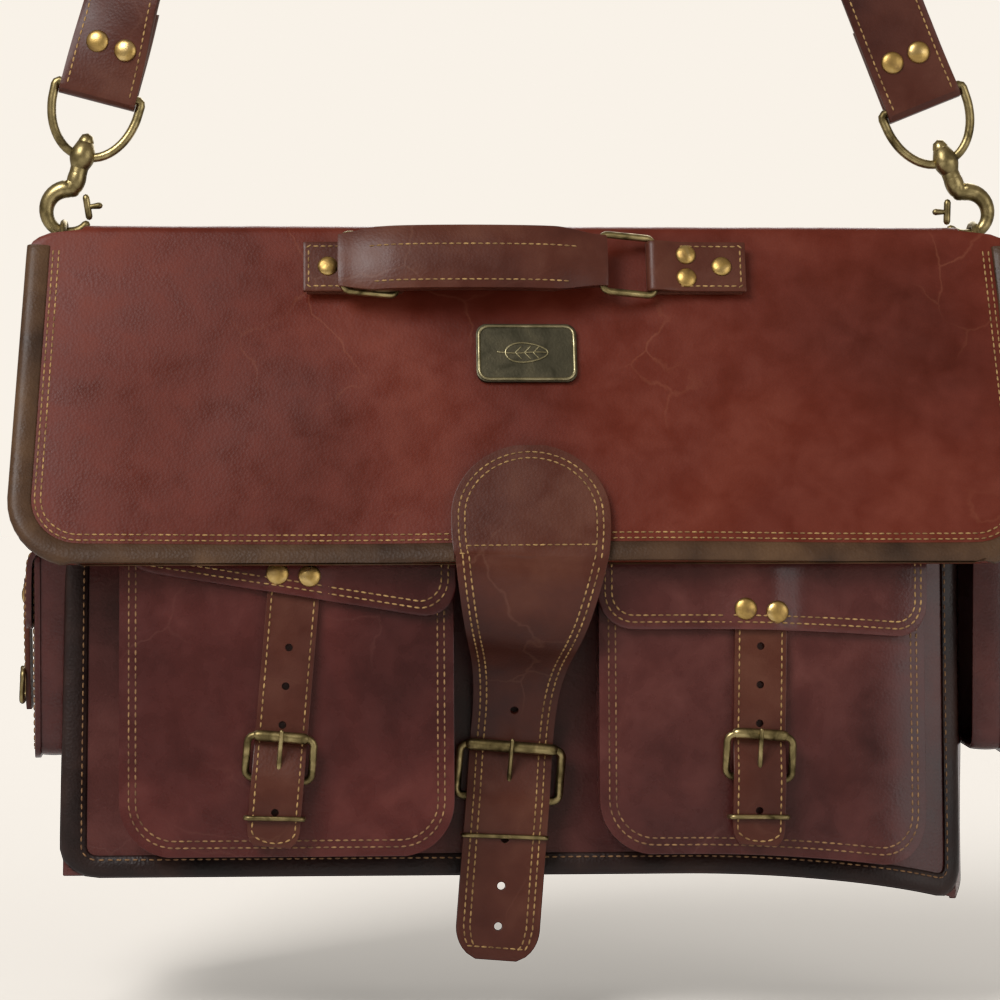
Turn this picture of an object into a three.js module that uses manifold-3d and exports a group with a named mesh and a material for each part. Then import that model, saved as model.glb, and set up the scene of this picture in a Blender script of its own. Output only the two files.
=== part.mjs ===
// A leather satchel bag that hangs by its shoulder strap: body, main flap, two buckled front pockets,
// two side pockets, a top handle, a centre closure strap and a shoulder strap on two snap hooks.
// Millimetres, +Z up, the front faces -Y. The origin is where the strap rests on the peg that holds it up.
import * as THREE from "three";
import { mergeVertices } from "three/addons/utils/BufferGeometryUtils.js";
import Module from "manifold-3d";

const wasm = await Module();
wasm.setup();

// ---- Driving dimensions ----
const CLEAR = 0.3; // gap left between neighbouring pieces
const LEATHER = 3; // saddle leather of the shell, the flap and the straps
const THIN_LEATHER = 2.4; // pocket leather
const STITCHED_EDGE = 12; // width of a bound edge
const LOOP_WALL = 1.7; // leather round a bar
const TIP_ROUNDING = 0.9; // corner of a strap's tip, as a share of half its width

const BODY_WIDTH = 408;
const BASE_DEPTH = 96;
const TOP_DEPTH = 70; // from the back to the crown of the flap
const BACK_Y = 46;
const BACK_HEIGHT = 260;
const FRONT_LOWER = 4; // how much lower the front ends than the back
const CROWN_RISE = 36; // of the flap's crown above the back
const BASE_THICKNESS = 4;
const DIVIDER_DROP = 40; // back to the top of the divider
const DIVIDER_Y = 22;
const SKIRT_LENGTH = 55; // of the part of the flap that is sewn across the back

const FLAP_TOP_OVERHANG = 18; // past each side of the body, at the crown
const FLAP_OVERHANG = 26; // at the lower edge
const FLAP_LENGTH = 166;
const FLAP_FREEDOM = 2.4; // between the bound edge of the flap and the straps on the pockets
const FLAP_CORNER = 30;
const FLAP_SHOULDER = 9; // rounding of its corners at the crown
const BINDING_PROUD = 1;
const BINDING_LAP = 9; // how far the binding reaches over the leather
const BINDING_START = 14; // below the crown
const ROOF_SETBACK = 8; // where the roof turns over the back edge
const ROOF_RISE = 19;

const BADGE_WIDTH = 45;
const BADGE_HEIGHT = 28;
const BADGE_THICKNESS = 2;
const BADGE_CORNER = 4;
const BADGE_DROP = 64; // crown to the middle of the badge

const HANDLE_SPAN = 116; // between the two tab loops
const HANDLE_DROP = 23; // crown to the middle of the handle
const HANDLE_WIDTH = 30;
const HANDLE_THICKNESS = 7;
const HANDLE_REST_ANGLE = 14; // how far the folded rings stand off the flap
const HANDLE_ARCH = 5;
const HANDLE_ARCH_RUN = 14; // over which the grip rises to its arch
const RING_REACH = 24.5; // between the two bars of a handle ring
const TAB_WIDTH = 24;
const TAB_LENGTH = 42;

const WIRE = 1.5; // radius of the handle rings and small buckles
const D_RING_WIRE = 1.6;
const D_RING_WIDTH = 25;
const D_RING_SIDE = 6;
const D_RING_RISE = 18; // of the tab's fold above the back
const D_RING_TAB_LENGTH = 52;
const D_RING_Y = -7;

const PEG_RADIUS = 22;
const STRAP_WIDTH = 35;
const STRAP_LEAN_LEFT = 14.5;
const STRAP_LEAN_RIGHT = 22;
const STRAP_BUCKLE_AT = 235; // from the left ring up to the heel bar of the adjusting buckle
const STRAP_TAIL = 105;
const STRAP_BUCKLE_TWIST = 20;
const STRAP_FRAME_ROOM = 7; // by which the buckle is wider than the strap, middle to middle of its bars
const STRAP_FRAME_HEIGHT = 26;
const STRAP_REJOIN = 78; // above the heel bar, where the long strap is back in line

const HOOK_WIRE = 2.1;
const HOOK_EYE = 10; // radius to the middle of the wire
const HOOK_STEM_TOP = 41;
const HOOK_COLLAR_LOW = 30;
const HOOK_COLLAR_HIGH = 37;
const HOOK_SHANK = 3.7; // radius of the thick part under the collar, and of the swivel's head
const HOOK_COLLAR = 6;
const HOOK_GATE_FROM = 52; // degrees round the eye
const HOOK_NOSE_AT = -15;
const HOOK_KNOB = 5;
const HOOK_LOOP_BAR = 64; // from the ring up to the bar that the strap goes round
const HOOK_LOOP_SIDE = 9;
const RING_FREEDOM = 0.6; // between a ring and the hook that carries it

const PRONG = 1.1; // radius of a buckle's prong
const PRONG_REACH = 1.5; // beyond the middle of its bar
const PRONG_SLOT = 1; // room on each side of a prong
const ROLLER_WALL = 0.9;
const CHAPE_TAIL = 13;
const KEEPER_WIRE = 1;
const KEEPER_DROP = 17;
const BILLET_BEND = 6; // length over which a billet steps through its buckle

const POCKET_WIDTH_SHARE = 0.36; // of the width of the body
const POCKET_HEIGHT_SHARE = 0.53; // of the height of the back
const POCKET_FOOT = 9;
const POCKET_DEPTH = 36;
const POCKET_CORNER = 24;
const POCKET_OFFSET_LEFT = -0.262; // middle of the pocket, as a share of the width of the body
const POCKET_OFFSET_RIGHT = 0.255;
const POCKET_FLAP_RISE = 5; // above the mouth of the pocket
const POCKET_STRAP_WIDTH = 23;
const POCKET_STRAP_BELOW = 30; // tail below the heel bar
const POCKET_BUCKLE_HEIGHT = 34; // heel bar above the foot of the pocket
const POCKET_FRAME_ROOM = 6;
const POCKET_FRAME_HEIGHT = 18.5;
const LEFT_FLAP_DROP = 22; // mouth of the left pocket to the edge of its flap
const LEFT_STRAP_OFFSET = 3;
const LEFT_STRAP_LEAN = 4.9;
const RIGHT_FLAP_DROP = 36;
const RIGHT_STRAP_OFFSET = -2;
const RIGHT_STRAP_LEAN = 1.6;

const CLOSURE_WIDTH = 35;
const CLOSURE_HEAD_WIDTH = 70;
const CLOSURE_HEAD_LENGTH = 52;
const CLOSURE_HEAD_CORNER = 20;
const CLOSURE_HEAD_NARROWING = 0.86; // width at the flap's edge as a share of the head's
const CLOSURE_BUCKLE_HEIGHT = 38;
const CLOSURE_TIP_BELOW = 34; // how far the tip hangs under the base
const CLOSURE_FRAME_ROOM = 11;
const CLOSURE_FRAME_HEIGHT = 23;
const CLOSURE_WIRE = 1.7;

const SIDE_POCKET_WIDTH = 64;
const SIDE_POCKET_HEIGHT = 92;
const SIDE_POCKET_DEPTH = 17;
const SIDE_POCKET_CORNER = 9;
const SIDE_POCKET_Y = -2;
const SIDE_POCKET_FOOT = 55;
const SIDE_POCKET_FLAP_DROP = 30;
const SIDE_STRAP_WIDTH = 16;
const SIDE_STRAP_BELOW = 42; // under the pocket flap's edge
const SIDE_STRAP_CORNER = 5;
const STUB_LENGTH = 18; // the end of a pocket strap that is riveted to its flap

// ---- Worked out from them ----
const rad = THREE.MathUtils.degToRad;
const HALF = BODY_WIDTH / 2;
const FRONT_HEIGHT = BACK_HEIGHT - FRONT_LOWER;
const CROWN_HEIGHT = BACK_HEIGHT + CROWN_RISE;
const FRONT_FOOT_Y = BACK_Y - BASE_DEPTH;
const CROWN_Y = BACK_Y - TOP_DEPTH;
const FRONT_LEAN = Math.atan2(CROWN_Y + LEATHER - FRONT_FOOT_Y, FRONT_HEIGHT);
const FRONT_LENGTH = FRONT_HEIGHT / Math.cos(FRONT_LEAN);
const FLOOR_TOP = BASE_THICKNESS + CLEAR;
const FAR = 2 * BODY_WIDTH; // beyond every piece, for the tools that cut
const POCKET_WIDTH = BODY_WIDTH * POCKET_WIDTH_SHARE;
const POCKET_HEIGHT = BACK_HEIGHT * POCKET_HEIGHT_SHARE;

// The flap rests just clear of the strap end that stands highest on a pocket.
const STRAP_END_Z = FLOOR_TOP + POCKET_FOOT + POCKET_HEIGHT - POCKET_FLAP_RISE;
const STRAP_END_OUT = POCKET_DEPTH + 2 * THIN_LEATHER + 2 * CLEAR;
const STRAP_END_Y =
  FRONT_FOOT_Y + STRAP_END_Z * Math.sin(FRONT_LEAN) - STRAP_END_OUT * Math.cos(FRONT_LEAN);
const STRAP_END_HEIGHT = STRAP_END_Z * Math.cos(FRONT_LEAN) + STRAP_END_OUT * Math.sin(FRONT_LEAN);
const STRAP_END_REACH = Math.hypot(CROWN_Y - STRAP_END_Y, CROWN_HEIGHT - STRAP_END_HEIGHT);
const FLAP_ANGLE =
  Math.atan2(CROWN_Y - STRAP_END_Y, CROWN_HEIGHT - STRAP_END_HEIGHT) +
  Math.asin((LEATHER + BINDING_PROUD + FLAP_FREEDOM) / STRAP_END_REACH);

// ---- Leathers and metals ----
const finish = (color, roughness, metalness = 0) =>
  new THREE.MeshStandardMaterial({ color, roughness, metalness });
const flapLeather = finish(0x6a2a1c, 0.5);
const bodyLeather = finish(0x53282a, 0.45);
const strapLeather = finish(0x4a2a22, 0.5);
const bindingLeather = finish(0x4a3320, 0.6);
const lining = finish(0x7a6248, 0.9);
const antiqueBrass = finish(0x7d7346, 0.4, 0.9);
const darkBronze = finish(0x4a4a3a, 0.45, 0.8);

// ---- Shaping helpers ----
function solidOf(geometry) {
  const bare = geometry.index ? geometry.toNonIndexed() : geometry.clone();
  bare.deleteAttribute("normal");
  bare.deleteAttribute("uv");
  const merged = mergeVertices(bare, 1e-4);
  return new wasm.Manifold(
    new wasm.Mesh({
      numProp: 3,
      vertProperties: new Float32Array(merged.attributes.position.array),
      triVerts: new Uint32Array(merged.index.array),
    }),
  );
}

function geometryOf(solid) {
  const made = solid.getMesh();
  const geometry = new THREE.BufferGeometry();
  geometry.setAttribute("position", new THREE.BufferAttribute(new Float32Array(made.vertProperties), 3));
  geometry.setIndex(new THREE.BufferAttribute(new Uint32Array(made.triVerts), 1));
  geometry.computeVertexNormals();
  return geometry;
}

const join = (...shapes) => geometryOf(shapes.map(solidOf).reduce((whole, next) => whole.add(next)));
const cut = (shape, ...tools) =>
  geometryOf(tools.map(solidOf).reduce((whole, tool) => whole.subtract(tool), solidOf(shape)));
const common = (a, b) => geometryOf(solidOf(a).intersect(solidOf(b)));

const box = (x0, x1, y0, y1, z0, z1) =>
  new THREE.BoxGeometry(x1 - x0, y1 - y0, z1 - z0).translate((x0 + x1) / 2, (y0 + y1) / 2, (z0 + z1) / 2);

// A shape drawn in X and Z, given a thickness from y0 to y1.
function plate(shape, y0, y1, curveSegments = 4) {
  const geometry = new THREE.ExtrudeGeometry(shape, { depth: y1 - y0, bevelEnabled: false, curveSegments });
  return geometry.rotateX(Math.PI / 2).translate(0, y1, 0);
}

// A shape drawn in Y and Z, given a width of w about the middle plane.
function slab(shape, w, curveSegments = 6) {
  const geometry = new THREE.ExtrudeGeometry(shape, { depth: w, bevelEnabled: false, curveSegments });
  return geometry.rotateY(Math.PI / 2).rotateX(Math.PI / 2).translate(-w / 2, 0, 0);
}

const outline = (points) => new THREE.Shape(points.map(([a, b]) => new THREE.Vector2(a, b)));

// A strip of leather seen from its edge, in Y and Z: the line of its inner face, thickened outwards.
function strip(line, thickness) {
  const points = line.map(([a, b]) => new THREE.Vector2(a, b));
  const outer = points.map((corner, i) => {
    const before = points[Math.max(i - 1, 0)];
    const after = points[Math.min(i + 1, points.length - 1)];
    const wayIn = corner.clone().sub(i ? before : after).multiplyScalar(i ? 1 : -1).normalize();
    const wayOut = i < points.length - 1 ? after.clone().sub(corner).normalize() : wayIn;
    const mitre = wayIn.clone().add(wayOut).normalize();
    const normal = new THREE.Vector2(mitre.y, -mitre.x);
    return corner.clone().addScaledVector(normal, thickness / mitre.dot(wayIn));
  });
  return new THREE.Shape([...points, ...outer.reverse()]);
}

function roundedRectangle(x0, x1, z0, z1, low, high = low) {
  const shape = new THREE.Shape();
  shape.moveTo(x0 + low, z0);
  shape.lineTo(x1 - low, z0);
  shape.absarc(x1 - low, z0 + low, low, -Math.PI / 2, 0);
  shape.absarc(x1 - high, z1 - high, high, 0, Math.PI / 2);
  shape.absarc(x0 + high, z1 - high, high, Math.PI / 2, Math.PI);
  shape.absarc(x0 + low, z0 + low, low, Math.PI, Math.PI * 1.5);
  return shape;
}

function disc(y, z, radius, hole = 0) {
  const shape = new THREE.Shape();
  shape.absarc(y, z, radius, 0, Math.PI * 2);
  if (hole) shape.holes.push(new THREE.Path().absarc(y, z, hole, 0, Math.PI * 2));
  return shape;
}

const at = (x, y, z) => new THREE.Vector3(x, y, z);

// Round wire along a curve.
const rod = (curve, radius, steps) =>
  new THREE.ExtrudeGeometry(disc(0, 0, radius), {
    steps,
    curveSegments: 4,
    extrudePath: curve,
    bevelEnabled: false,
  });

// A round bar from a to b.
function bar(a, b, radius, sides = 10) {
  const along = b.clone().sub(a);
  const geometry = new THREE.CylinderGeometry(radius, radius, along.length(), sides);
  const turned = new THREE.Quaternion().setFromUnitVectors(at(0, 1, 0), along.clone().normalize());
  geometry.applyQuaternion(turned);
  return geometry.translate(...a.clone().add(b).multiplyScalar(0.5).toArray());
}

// A rectangular wire ring in X and Z; the box gives the middles of its four bars.
function wireRing(x0, x1, z0, z1, radius) {
  const chamfer = radius * 0.5;
  const out = radius - chamfer;
  const shape = roundedRectangle(x0 - out, x1 + out, z0 - out, z1 + out, radius);
  const hole = roundedRectangle(x0 + out, x1 - out, z0 + out, z1 - out, radius * 0.6);
  shape.holes.push(new THREE.Path(hole.getPoints(2)));
  const bevel = { bevelThickness: chamfer, bevelSize: chamfer, bevelSegments: 1 };
  const geometry = new THREE.ExtrudeGeometry(shape, { depth: out * 2, curveSegments: 2, ...bevel });
  return geometry.rotateX(Math.PI / 2).translate(0, out, 0);
}

// A leather tab whose upper end is folded round a bar along X through the origin; its tail lies behind.
const loopOuter = (barRadius, wall) => barRadius + CLEAR + wall;
function loopedTab(barRadius, wall, tail, width) {
  const outer = loopOuter(barRadius, wall);
  const fold = slab(disc(0, 0, outer, barRadius + CLEAR), width);
  return join(fold, box(-width / 2, width / 2, outer - wall, outer, -tail, 0));
}

const group = (parent, position, rotation = [0, 0, 0], name = "") => {
  const made = new THREE.Group();
  made.position.set(...position);
  made.rotation.set(...rotation);
  made.name = name;
  parent.add(made);
  return made;
};

function piece(parent, name, geometry, material) {
  const made = new THREE.Mesh(geometry, material);
  made.name = name;
  parent.add(made);
  return made;
}

// A place given in one group, as Y and Z in another.
function seenFrom(other, own, x, y, z) {
  own.updateWorldMatrix(true, false);
  other.updateWorldMatrix(true, false);
  const there = other.worldToLocal(own.localToWorld(at(x, y, z)));
  return [there.y, there.z];
}

// ---- Shoulder strap: two hooks, two straps and the buckle that joins them ----
const leanLeft = rad(STRAP_LEAN_LEFT);
const leanRight = rad(STRAP_LEAN_RIGHT);
const tabOuter = loopOuter(D_RING_WIRE, LOOP_WALL);
const ringX = HALF + CLEAR + tabOuter;
const ringFoot = BACK_HEIGHT + D_RING_RISE;
const ringTop = ringFoot + D_RING_SIDE + D_RING_WIDTH / 2;
const contactZ = ringTop - D_RING_WIRE - RING_FREEDOM; // where a hook carries its ring
const turn = PEG_RADIUS + LEATHER / 2;
const pegDrop =
  (2 * ringX - turn / Math.cos(leanLeft) - turn / Math.cos(leanRight)) /
  (Math.tan(leanLeft) + Math.tan(leanRight));
const runLeft = (pegDrop + turn * Math.sin(leanLeft)) / Math.cos(leanLeft);
const runRight = (pegDrop + turn * Math.sin(leanRight)) / Math.cos(leanRight);
const peg = at(0, 0, -PEG_RADIUS);
const footLeft = peg
  .clone()
  .add(at(-turn * Math.cos(leanLeft) - runLeft * Math.sin(leanLeft), 0, -pegDrop));
const overPeg = turn * (Math.PI - leanLeft - leanRight);
const strapTotal = runLeft + overPeg + runRight;

const satchel = new THREE.Group();
const bag = group(satchel, [footLeft.x + ringX, -D_RING_Y, footLeft.z - contactZ], [0, 0, 0], "bag");

// How far the strap is turned about its own length: flat to the front at the hooks, edge on at the peg.
function strapTwist(s) {
  const low = rad(STRAP_BUCKLE_TWIST);
  const flatFrom = STRAP_BUCKLE_AT - STRAP_TAIL * 1.2;
  const flatTo = STRAP_BUCKLE_AT + 2 * CLOSURE_FRAME_HEIGHT;
  const ease = (a, b) => THREE.MathUtils.smoothstep(s, a, b);
  const up = low * ease(HOOK_LOOP_BAR, flatFrom) + (Math.PI / 2 - low) * ease(flatTo, runLeft);
  return up - (Math.PI / 2) * ease(runLeft + overPeg, strapTotal - HOOK_LOOP_BAR);
}

// The strap's middle line, with the ways across it and to its back, s millimetres from the left ring.
function strapFrame(s, proud = 0) {
  const middle = at(0, 0, 0);
  const way = at(0, 0, 0);
  const fromRight = strapTotal - s;
  if (s <= runLeft) {
    way.set(Math.sin(leanLeft), 0, Math.cos(leanLeft));
    middle.copy(footLeft).addScaledVector(way, s);
  } else if (fromRight <= runRight) {
    way.set(Math.sin(leanRight), 0, -Math.cos(leanRight));
    middle.set(footLeft.x + 2 * ringX, 0, footLeft.z).addScaledVector(way, -fromRight);
  } else {
    const angle = leanLeft + (s - runLeft) / turn;
    way.set(Math.sin(angle), 0, Math.cos(angle));
    middle.set(peg.x - turn * Math.cos(angle), 0, peg.z + turn * Math.sin(angle));
  }
  const side = at(way.z, 0, -way.x);
  const twist = strapTwist(s);
  const across = side.multiplyScalar(Math.cos(twist)).add(at(0, -Math.sin(twist), 0));
  const back = way.clone().cross(across);
  middle.addScaledVector(back, -proud);
  return { middle, across, back, way };
}

const spread = (from, to, count) =>
  Array.from({ length: count + 1 }, (_, i) => THREE.MathUtils.lerp(from, to, i / count));

// A stretch of the strap with a cross section at each stop.
function flatStrap(stops, proud = () => 0) {
  const last = stops.length - 1;
  const geometry = new THREE.BoxGeometry(STRAP_WIDTH, LEATHER, 1, 1, 1, last);
  const place = geometry.attributes.position;
  for (let i = 0; i < place.count; i++) {
    const s = stops[Math.round((place.getZ(i) + 0.5) * last)];
    const { middle, across, back } = strapFrame(s, proud(s));
    middle.addScaledVector(across, place.getX(i)).addScaledVector(back, place.getY(i));
    place.setXYZ(i, middle.x, middle.y, middle.z);
  }
  return geometry;
}

function strapGroup(s, name = "") {
  const { middle, across, back, way } = strapFrame(s);
  const made = group(satchel, middle.toArray(), [0, 0, 0], name);
  made.setRotationFromMatrix(new THREE.Matrix4().makeBasis(across, back, way));
  return made;
}

// ---- Buckles ----
const heelOut = (wire) => CLEAR + wire + CLEAR + 2 * PRONG;
const billetOut = (wire) => heelOut(wire) + loopOuter(wire, LOOP_WALL) + CLEAR;
const rollerOut = (wire) => wire + CLEAR + ROLLER_WALL;
const billetBehind = (wire) => heelOut(wire) - wire; // where the billet passes under the roller

// The line of the back face of a billet that comes from the point top through a buckle and its keeper.
function billetLine(top, wire, height, tail) {
  const under = -billetBehind(wire);
  const over = -billetOut(wire);
  const step = BILLET_BEND / 2;
  return [
    top,
    [under, height + BILLET_BEND],
    [under, height - step],
    [over, step],
    [over, -BILLET_BEND],
    [over + PRONG, -tail],
  ];
}

const prongSlot = (height, front, back) =>
  box(-PRONG - PRONG_SLOT, PRONG + PRONG_SLOT, front, back, -BILLET_BEND, height - BILLET_BEND / 2);

// A roller buckle on a leather tab: the heel bar is the origin's height, the surface is y = 0.
function buckle(parent, prefix, { width, height, wire, billet, thickness, roller = true, tab = true }) {
  const heelY = -heelOut(wire);
  if (tab) {
    const slotFoot = -loopOuter(wire, LOOP_WALL) - PRONG_SLOT;
    const slot = box(-PRONG - CLEAR, PRONG + CLEAR, -FAR, FAR, slotFoot, FAR);
    const chape = cut(loopedTab(wire, LOOP_WALL, CHAPE_TAIL, billet), slot);
    piece(parent, prefix + "_chape", chape.translate(0, heelY, 0), strapLeather);
  }
  const barY = -(billetBehind(wire) + thickness + CLEAR + (roller ? rollerOut(wire) : wire));
  const reach = Math.hypot(height, barY - heelY);
  const tilt = Math.atan2(heelY - barY, height);
  const frame = group(parent, [0, heelY, 0], [tilt, 0, 0], prefix + "_frame_pivot");
  piece(frame, prefix + "_frame", wireRing(-width / 2, width / 2, 0, reach, wire), antiqueBrass);
  if (roller) {
    const spin = group(frame, [0, 0, reach], [0, 0, 0], prefix + "_roller_pivot");
    const tube = slab(disc(0, 0, rollerOut(wire), wire + CLEAR), width - 2 * wire - 4 * CLEAR);
    piece(spin, prefix + "_roller", tube, antiqueBrass);
  }
  const eye = wire + CLEAR + PRONG;
  const rest = (roller ? rollerOut(wire) : wire) + CLEAR + PRONG;
  const foot = at(0, -eye, 0);
  const tip = at(0, -rest - (rest - eye) / 3, reach + wire + PRONG_REACH);
  const ring = new THREE.TorusGeometry(eye, PRONG, 6, 12).rotateY(Math.PI / 2);
  piece(frame, prefix + "_prong", join(ring, bar(foot, tip, PRONG, 8)), antiqueBrass);
}

// A metal loop that keeps the free end of a billet down; its inside runs from y = front to y = back.
function keeper(parent, name, drop, billet, front, back = -2 * KEEPER_WIRE - CLEAR) {
  const half = billet / 2 + CLEAR + KEEPER_WIRE;
  const loop = wireRing(-half, half, -back - KEEPER_WIRE, KEEPER_WIRE - front, KEEPER_WIRE);
  piece(parent, name, loop.rotateX(Math.PI / 2).translate(0, 0, -drop), antiqueBrass);
}

const strapEnd = loopOuter(HOOK_WIRE, LEATHER);
const strapBuckle = {
  width: STRAP_WIDTH + STRAP_FRAME_ROOM,
  height: STRAP_FRAME_HEIGHT,
  wire: WIRE,
  billet: STRAP_WIDTH,
  thickness: LEATHER,
};
const buckleFrame = strapGroup(STRAP_BUCKLE_AT, "strap_buckle");
const buckleFace = group(buckleFrame, [0, -LEATHER / 2, 0], [0, 0, 0], "strap_buckle_face");

function hookLoopFold(s, width) {
  const { middle, across, back, way } = strapFrame(s);
  const basis = new THREE.Matrix4().makeBasis(across, back, way).setPosition(middle);
  return slab(disc(0, 0, strapEnd, HOOK_WIRE + CLEAR), width).applyMatrix4(basis);
}

const strapFoot = HOOK_LOOP_BAR + HOOK_WIRE + CLEAR + LEATHER / 2;
const heel = strapFrame(STRAP_BUCKLE_AT);
const heelBasis = new THREE.Matrix4().makeBasis(heel.across, heel.back, heel.way).setPosition(heel.middle);
const heelLoop = loopedTab(WIRE, LOOP_WALL, CHAPE_TAIL, STRAP_WIDTH)
  .translate(0, -heelOut(WIRE) - LEATHER / 2, 0)
  .applyMatrix4(heelBasis);
const sewnFrom = loopOuter(WIRE, LOOP_WALL / 2) - LEATHER / 2 - heelOut(WIRE);
const sewnTail = box(-STRAP_WIDTH / 2, STRAP_WIDTH / 2, sewnFrom, 0, -CHAPE_TAIL, 0);
sewnTail.applyMatrix4(heelBasis);
const heelSlot = prongSlot(FAR, -FAR, -LEATHER / 2).applyMatrix4(heelBasis);
const shortStrap = flatStrap(spread(strapFoot, STRAP_BUCKLE_AT, 10));
const shortFold = hookLoopFold(HOOK_LOOP_BAR, STRAP_WIDTH);
piece(satchel, "strap_short", cut(join(shortFold, shortStrap, heelLoop, sewnTail), heelSlot), strapLeather);
const tailEnd = STRAP_BUCKLE_AT - STRAP_TAIL;
const tailProud = billetOut(WIRE) + LEATHER;
const barProud = billetBehind(WIRE) + LEATHER;
function longProud(s) {
  const above = s - STRAP_BUCKLE_AT;
  const toBar = THREE.MathUtils.smoothstep(above, BILLET_BEND / 2, STRAP_FRAME_HEIGHT - BILLET_BEND);
  const toMiddle = THREE.MathUtils.smoothstep(above, STRAP_FRAME_HEIGHT + BILLET_BEND, STRAP_REJOIN);
  return tailProud + (barProud - tailProud) * toBar - barProud * toMiddle;
}
const longFrom = STRAP_BUCKLE_AT + STRAP_REJOIN;
const longStops = [
  ...spread(tailEnd, STRAP_BUCKLE_AT, 3),
  ...spread(STRAP_BUCKLE_AT + BILLET_BEND / 2, longFrom, 12),
  ...spread(longFrom, strapTotal - strapFoot, 34).slice(1),
];
const longStrap = flatStrap(longStops, longProud);
const longSlot = prongSlot(STRAP_FRAME_HEIGHT, -FAR, -LEATHER / 2 - PRONG_SLOT).applyMatrix4(heelBasis);
const longFold = hookLoopFold(strapTotal - HOOK_LOOP_BAR, STRAP_WIDTH);
piece(satchel, "strap_long", cut(join(longStrap, longFold), longSlot), strapLeather);
buckle(buckleFace, "strap_buckle", { ...strapBuckle, roller: false, tab: false });
keeper(buckleFace, "strap_keeper", STRAP_TAIL / 2, STRAP_WIDTH, -tailProud - CLEAR, LEATHER + CLEAR);

// A swivel snap hook whose eye carries a D-ring; z runs up along the strap.
function hook(parent, prefix, side) {
  const eyeZ = HOOK_EYE - HOOK_WIRE;
  const round = (degrees) =>
    at(side * HOOK_EYE * Math.cos(rad(degrees)), 0, eyeZ + HOOK_EYE * Math.sin(rad(degrees)));
  const onAxis = (low, high, radius) => bar(at(0, 0, low), at(0, 0, high), radius, 10);
  const stem = onAxis(eyeZ + HOOK_EYE - CLEAR, HOOK_STEM_TOP, HOOK_WIRE);
  const head = onAxis(HOOK_COLLAR_HIGH + CLEAR, HOOK_STEM_TOP, HOOK_SHANK);
  const shank = onAxis(eyeZ + HOOK_EYE, HOOK_COLLAR_LOW - CLEAR, HOOK_SHANK);
  const bend = new THREE.CatmullRomCurve3(spread(90, 360 + HOOK_NOSE_AT, 9).map(round));
  const swivel = group(parent, [0, 0, 0], [0, 0, 0], prefix + "_hook_pivot");
  piece(swivel, prefix + "_hook", join(stem, head, shank, rod(bend, HOOK_WIRE, 22)), antiqueBrass);

  const hinge = round(HOOK_GATE_FROM);
  const reach = round(HOOK_NOSE_AT).add(at(0, 0, HOOK_WIRE + CLEAR)).sub(hinge);
  const gate = group(swivel, hinge.toArray(), [0, 0, 0], prefix + "_hook_gate_pivot");
  const knobFoot = reach.clone().multiplyScalar(0.5);
  const knobTip = knobFoot.clone().add(at(side * HOOK_KNOB, 0, HOOK_WIRE));
  const lever = bar(at(0, 0, 0), reach, HOOK_WIRE * 0.75, 10);
  piece(gate, prefix + "_hook_gate", join(lever, bar(knobFoot, knobTip, PRONG, 8)), antiqueBrass);

  const halfBar = STRAP_WIDTH / 2 + CLEAR + HOOK_WIRE;
  const collarMiddle = (HOOK_COLLAR_LOW + HOOK_COLLAR_HIGH) / 2;
  const sideFoot = HOOK_LOOP_BAR - HOOK_LOOP_SIDE;
  const arm = (way) => {
    const points = [
      at(way * (HOOK_COLLAR - HOOK_WIRE), 0, collarMiddle),
      at(way * halfBar * 0.72, 0, (collarMiddle + sideFoot) / 2 - HOOK_WIRE),
      at(way * halfBar, 0, sideFoot),
      at(way * halfBar, 0, HOOK_LOOP_BAR),
    ];
    return rod(new THREE.CatmullRomCurve3(points), HOOK_WIRE, 10);
  };
  const barEnd = at(halfBar + HOOK_WIRE * 0.8, 0, HOOK_LOOP_BAR);
  const crossbar = bar(barEnd.clone().setX(-barEnd.x), barEnd, HOOK_WIRE);
  const collar = bar(at(0, 0, HOOK_COLLAR_LOW), at(0, 0, HOOK_COLLAR_HIGH), HOOK_COLLAR, 12);
  const bore = bar(at(0, 0, 0), at(0, 0, HOOK_STEM_TOP), HOOK_WIRE + 2 * CLEAR, 12);
  piece(parent, prefix + "_hook_loop", cut(join(collar, arm(1), arm(-1), crossbar), bore), antiqueBrass);
}
hook(group(satchel, footLeft.toArray(), [0, leanLeft, 0]), "left", 1);
hook(group(satchel, [footLeft.x + 2 * ringX, 0, footLeft.z], [0, -leanRight, 0]), "right", -1);

// ---- Body: base, back, front, two gussets and a divider ----
piece(bag, "base_panel", box(-HALF, HALF, FRONT_FOOT_Y, BACK_Y, 0, BASE_THICKNESS), bodyLeather);
piece(bag, "back_panel", box(-HALF, HALF, BACK_Y - LEATHER, BACK_Y, FLOOR_TOP, BACK_HEIGHT), bodyLeather);
const front = group(bag, [0, FRONT_FOOT_Y, 0], [-FRONT_LEAN, 0, 0]);
const frontLow = FLOOR_TOP + LEATHER * Math.sin(FRONT_LEAN);
piece(front, "front_panel", box(-HALF, HALF, 0, LEATHER, frontLow, FRONT_LENGTH), bodyLeather);
const frontY = (z) => FRONT_FOOT_Y + z * Math.tan(FRONT_LEAN) + LEATHER / Math.cos(FRONT_LEAN) + CLEAR;
const gussetTop = Math.min(FRONT_HEIGHT, BACK_HEIGHT) - CLEAR;
const backInside = BACK_Y - LEATHER - CLEAR;
const gussetShape = outline([
  [frontY(FLOOR_TOP), FLOOR_TOP],
  [backInside, FLOOR_TOP],
  [backInside, gussetTop],
  [frontY(gussetTop), gussetTop],
]);
for (const [name, side] of [["left_gusset", -1], ["right_gusset", 1]]) {
  const wall = slab(gussetShape, LEATHER).translate(side * (HALF - LEATHER / 2), 0, 0);
  piece(bag, name, wall, bodyLeather);
}
const inside = HALF - LEATHER - CLEAR;
const dividerBack = DIVIDER_Y + THIN_LEATHER;
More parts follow.
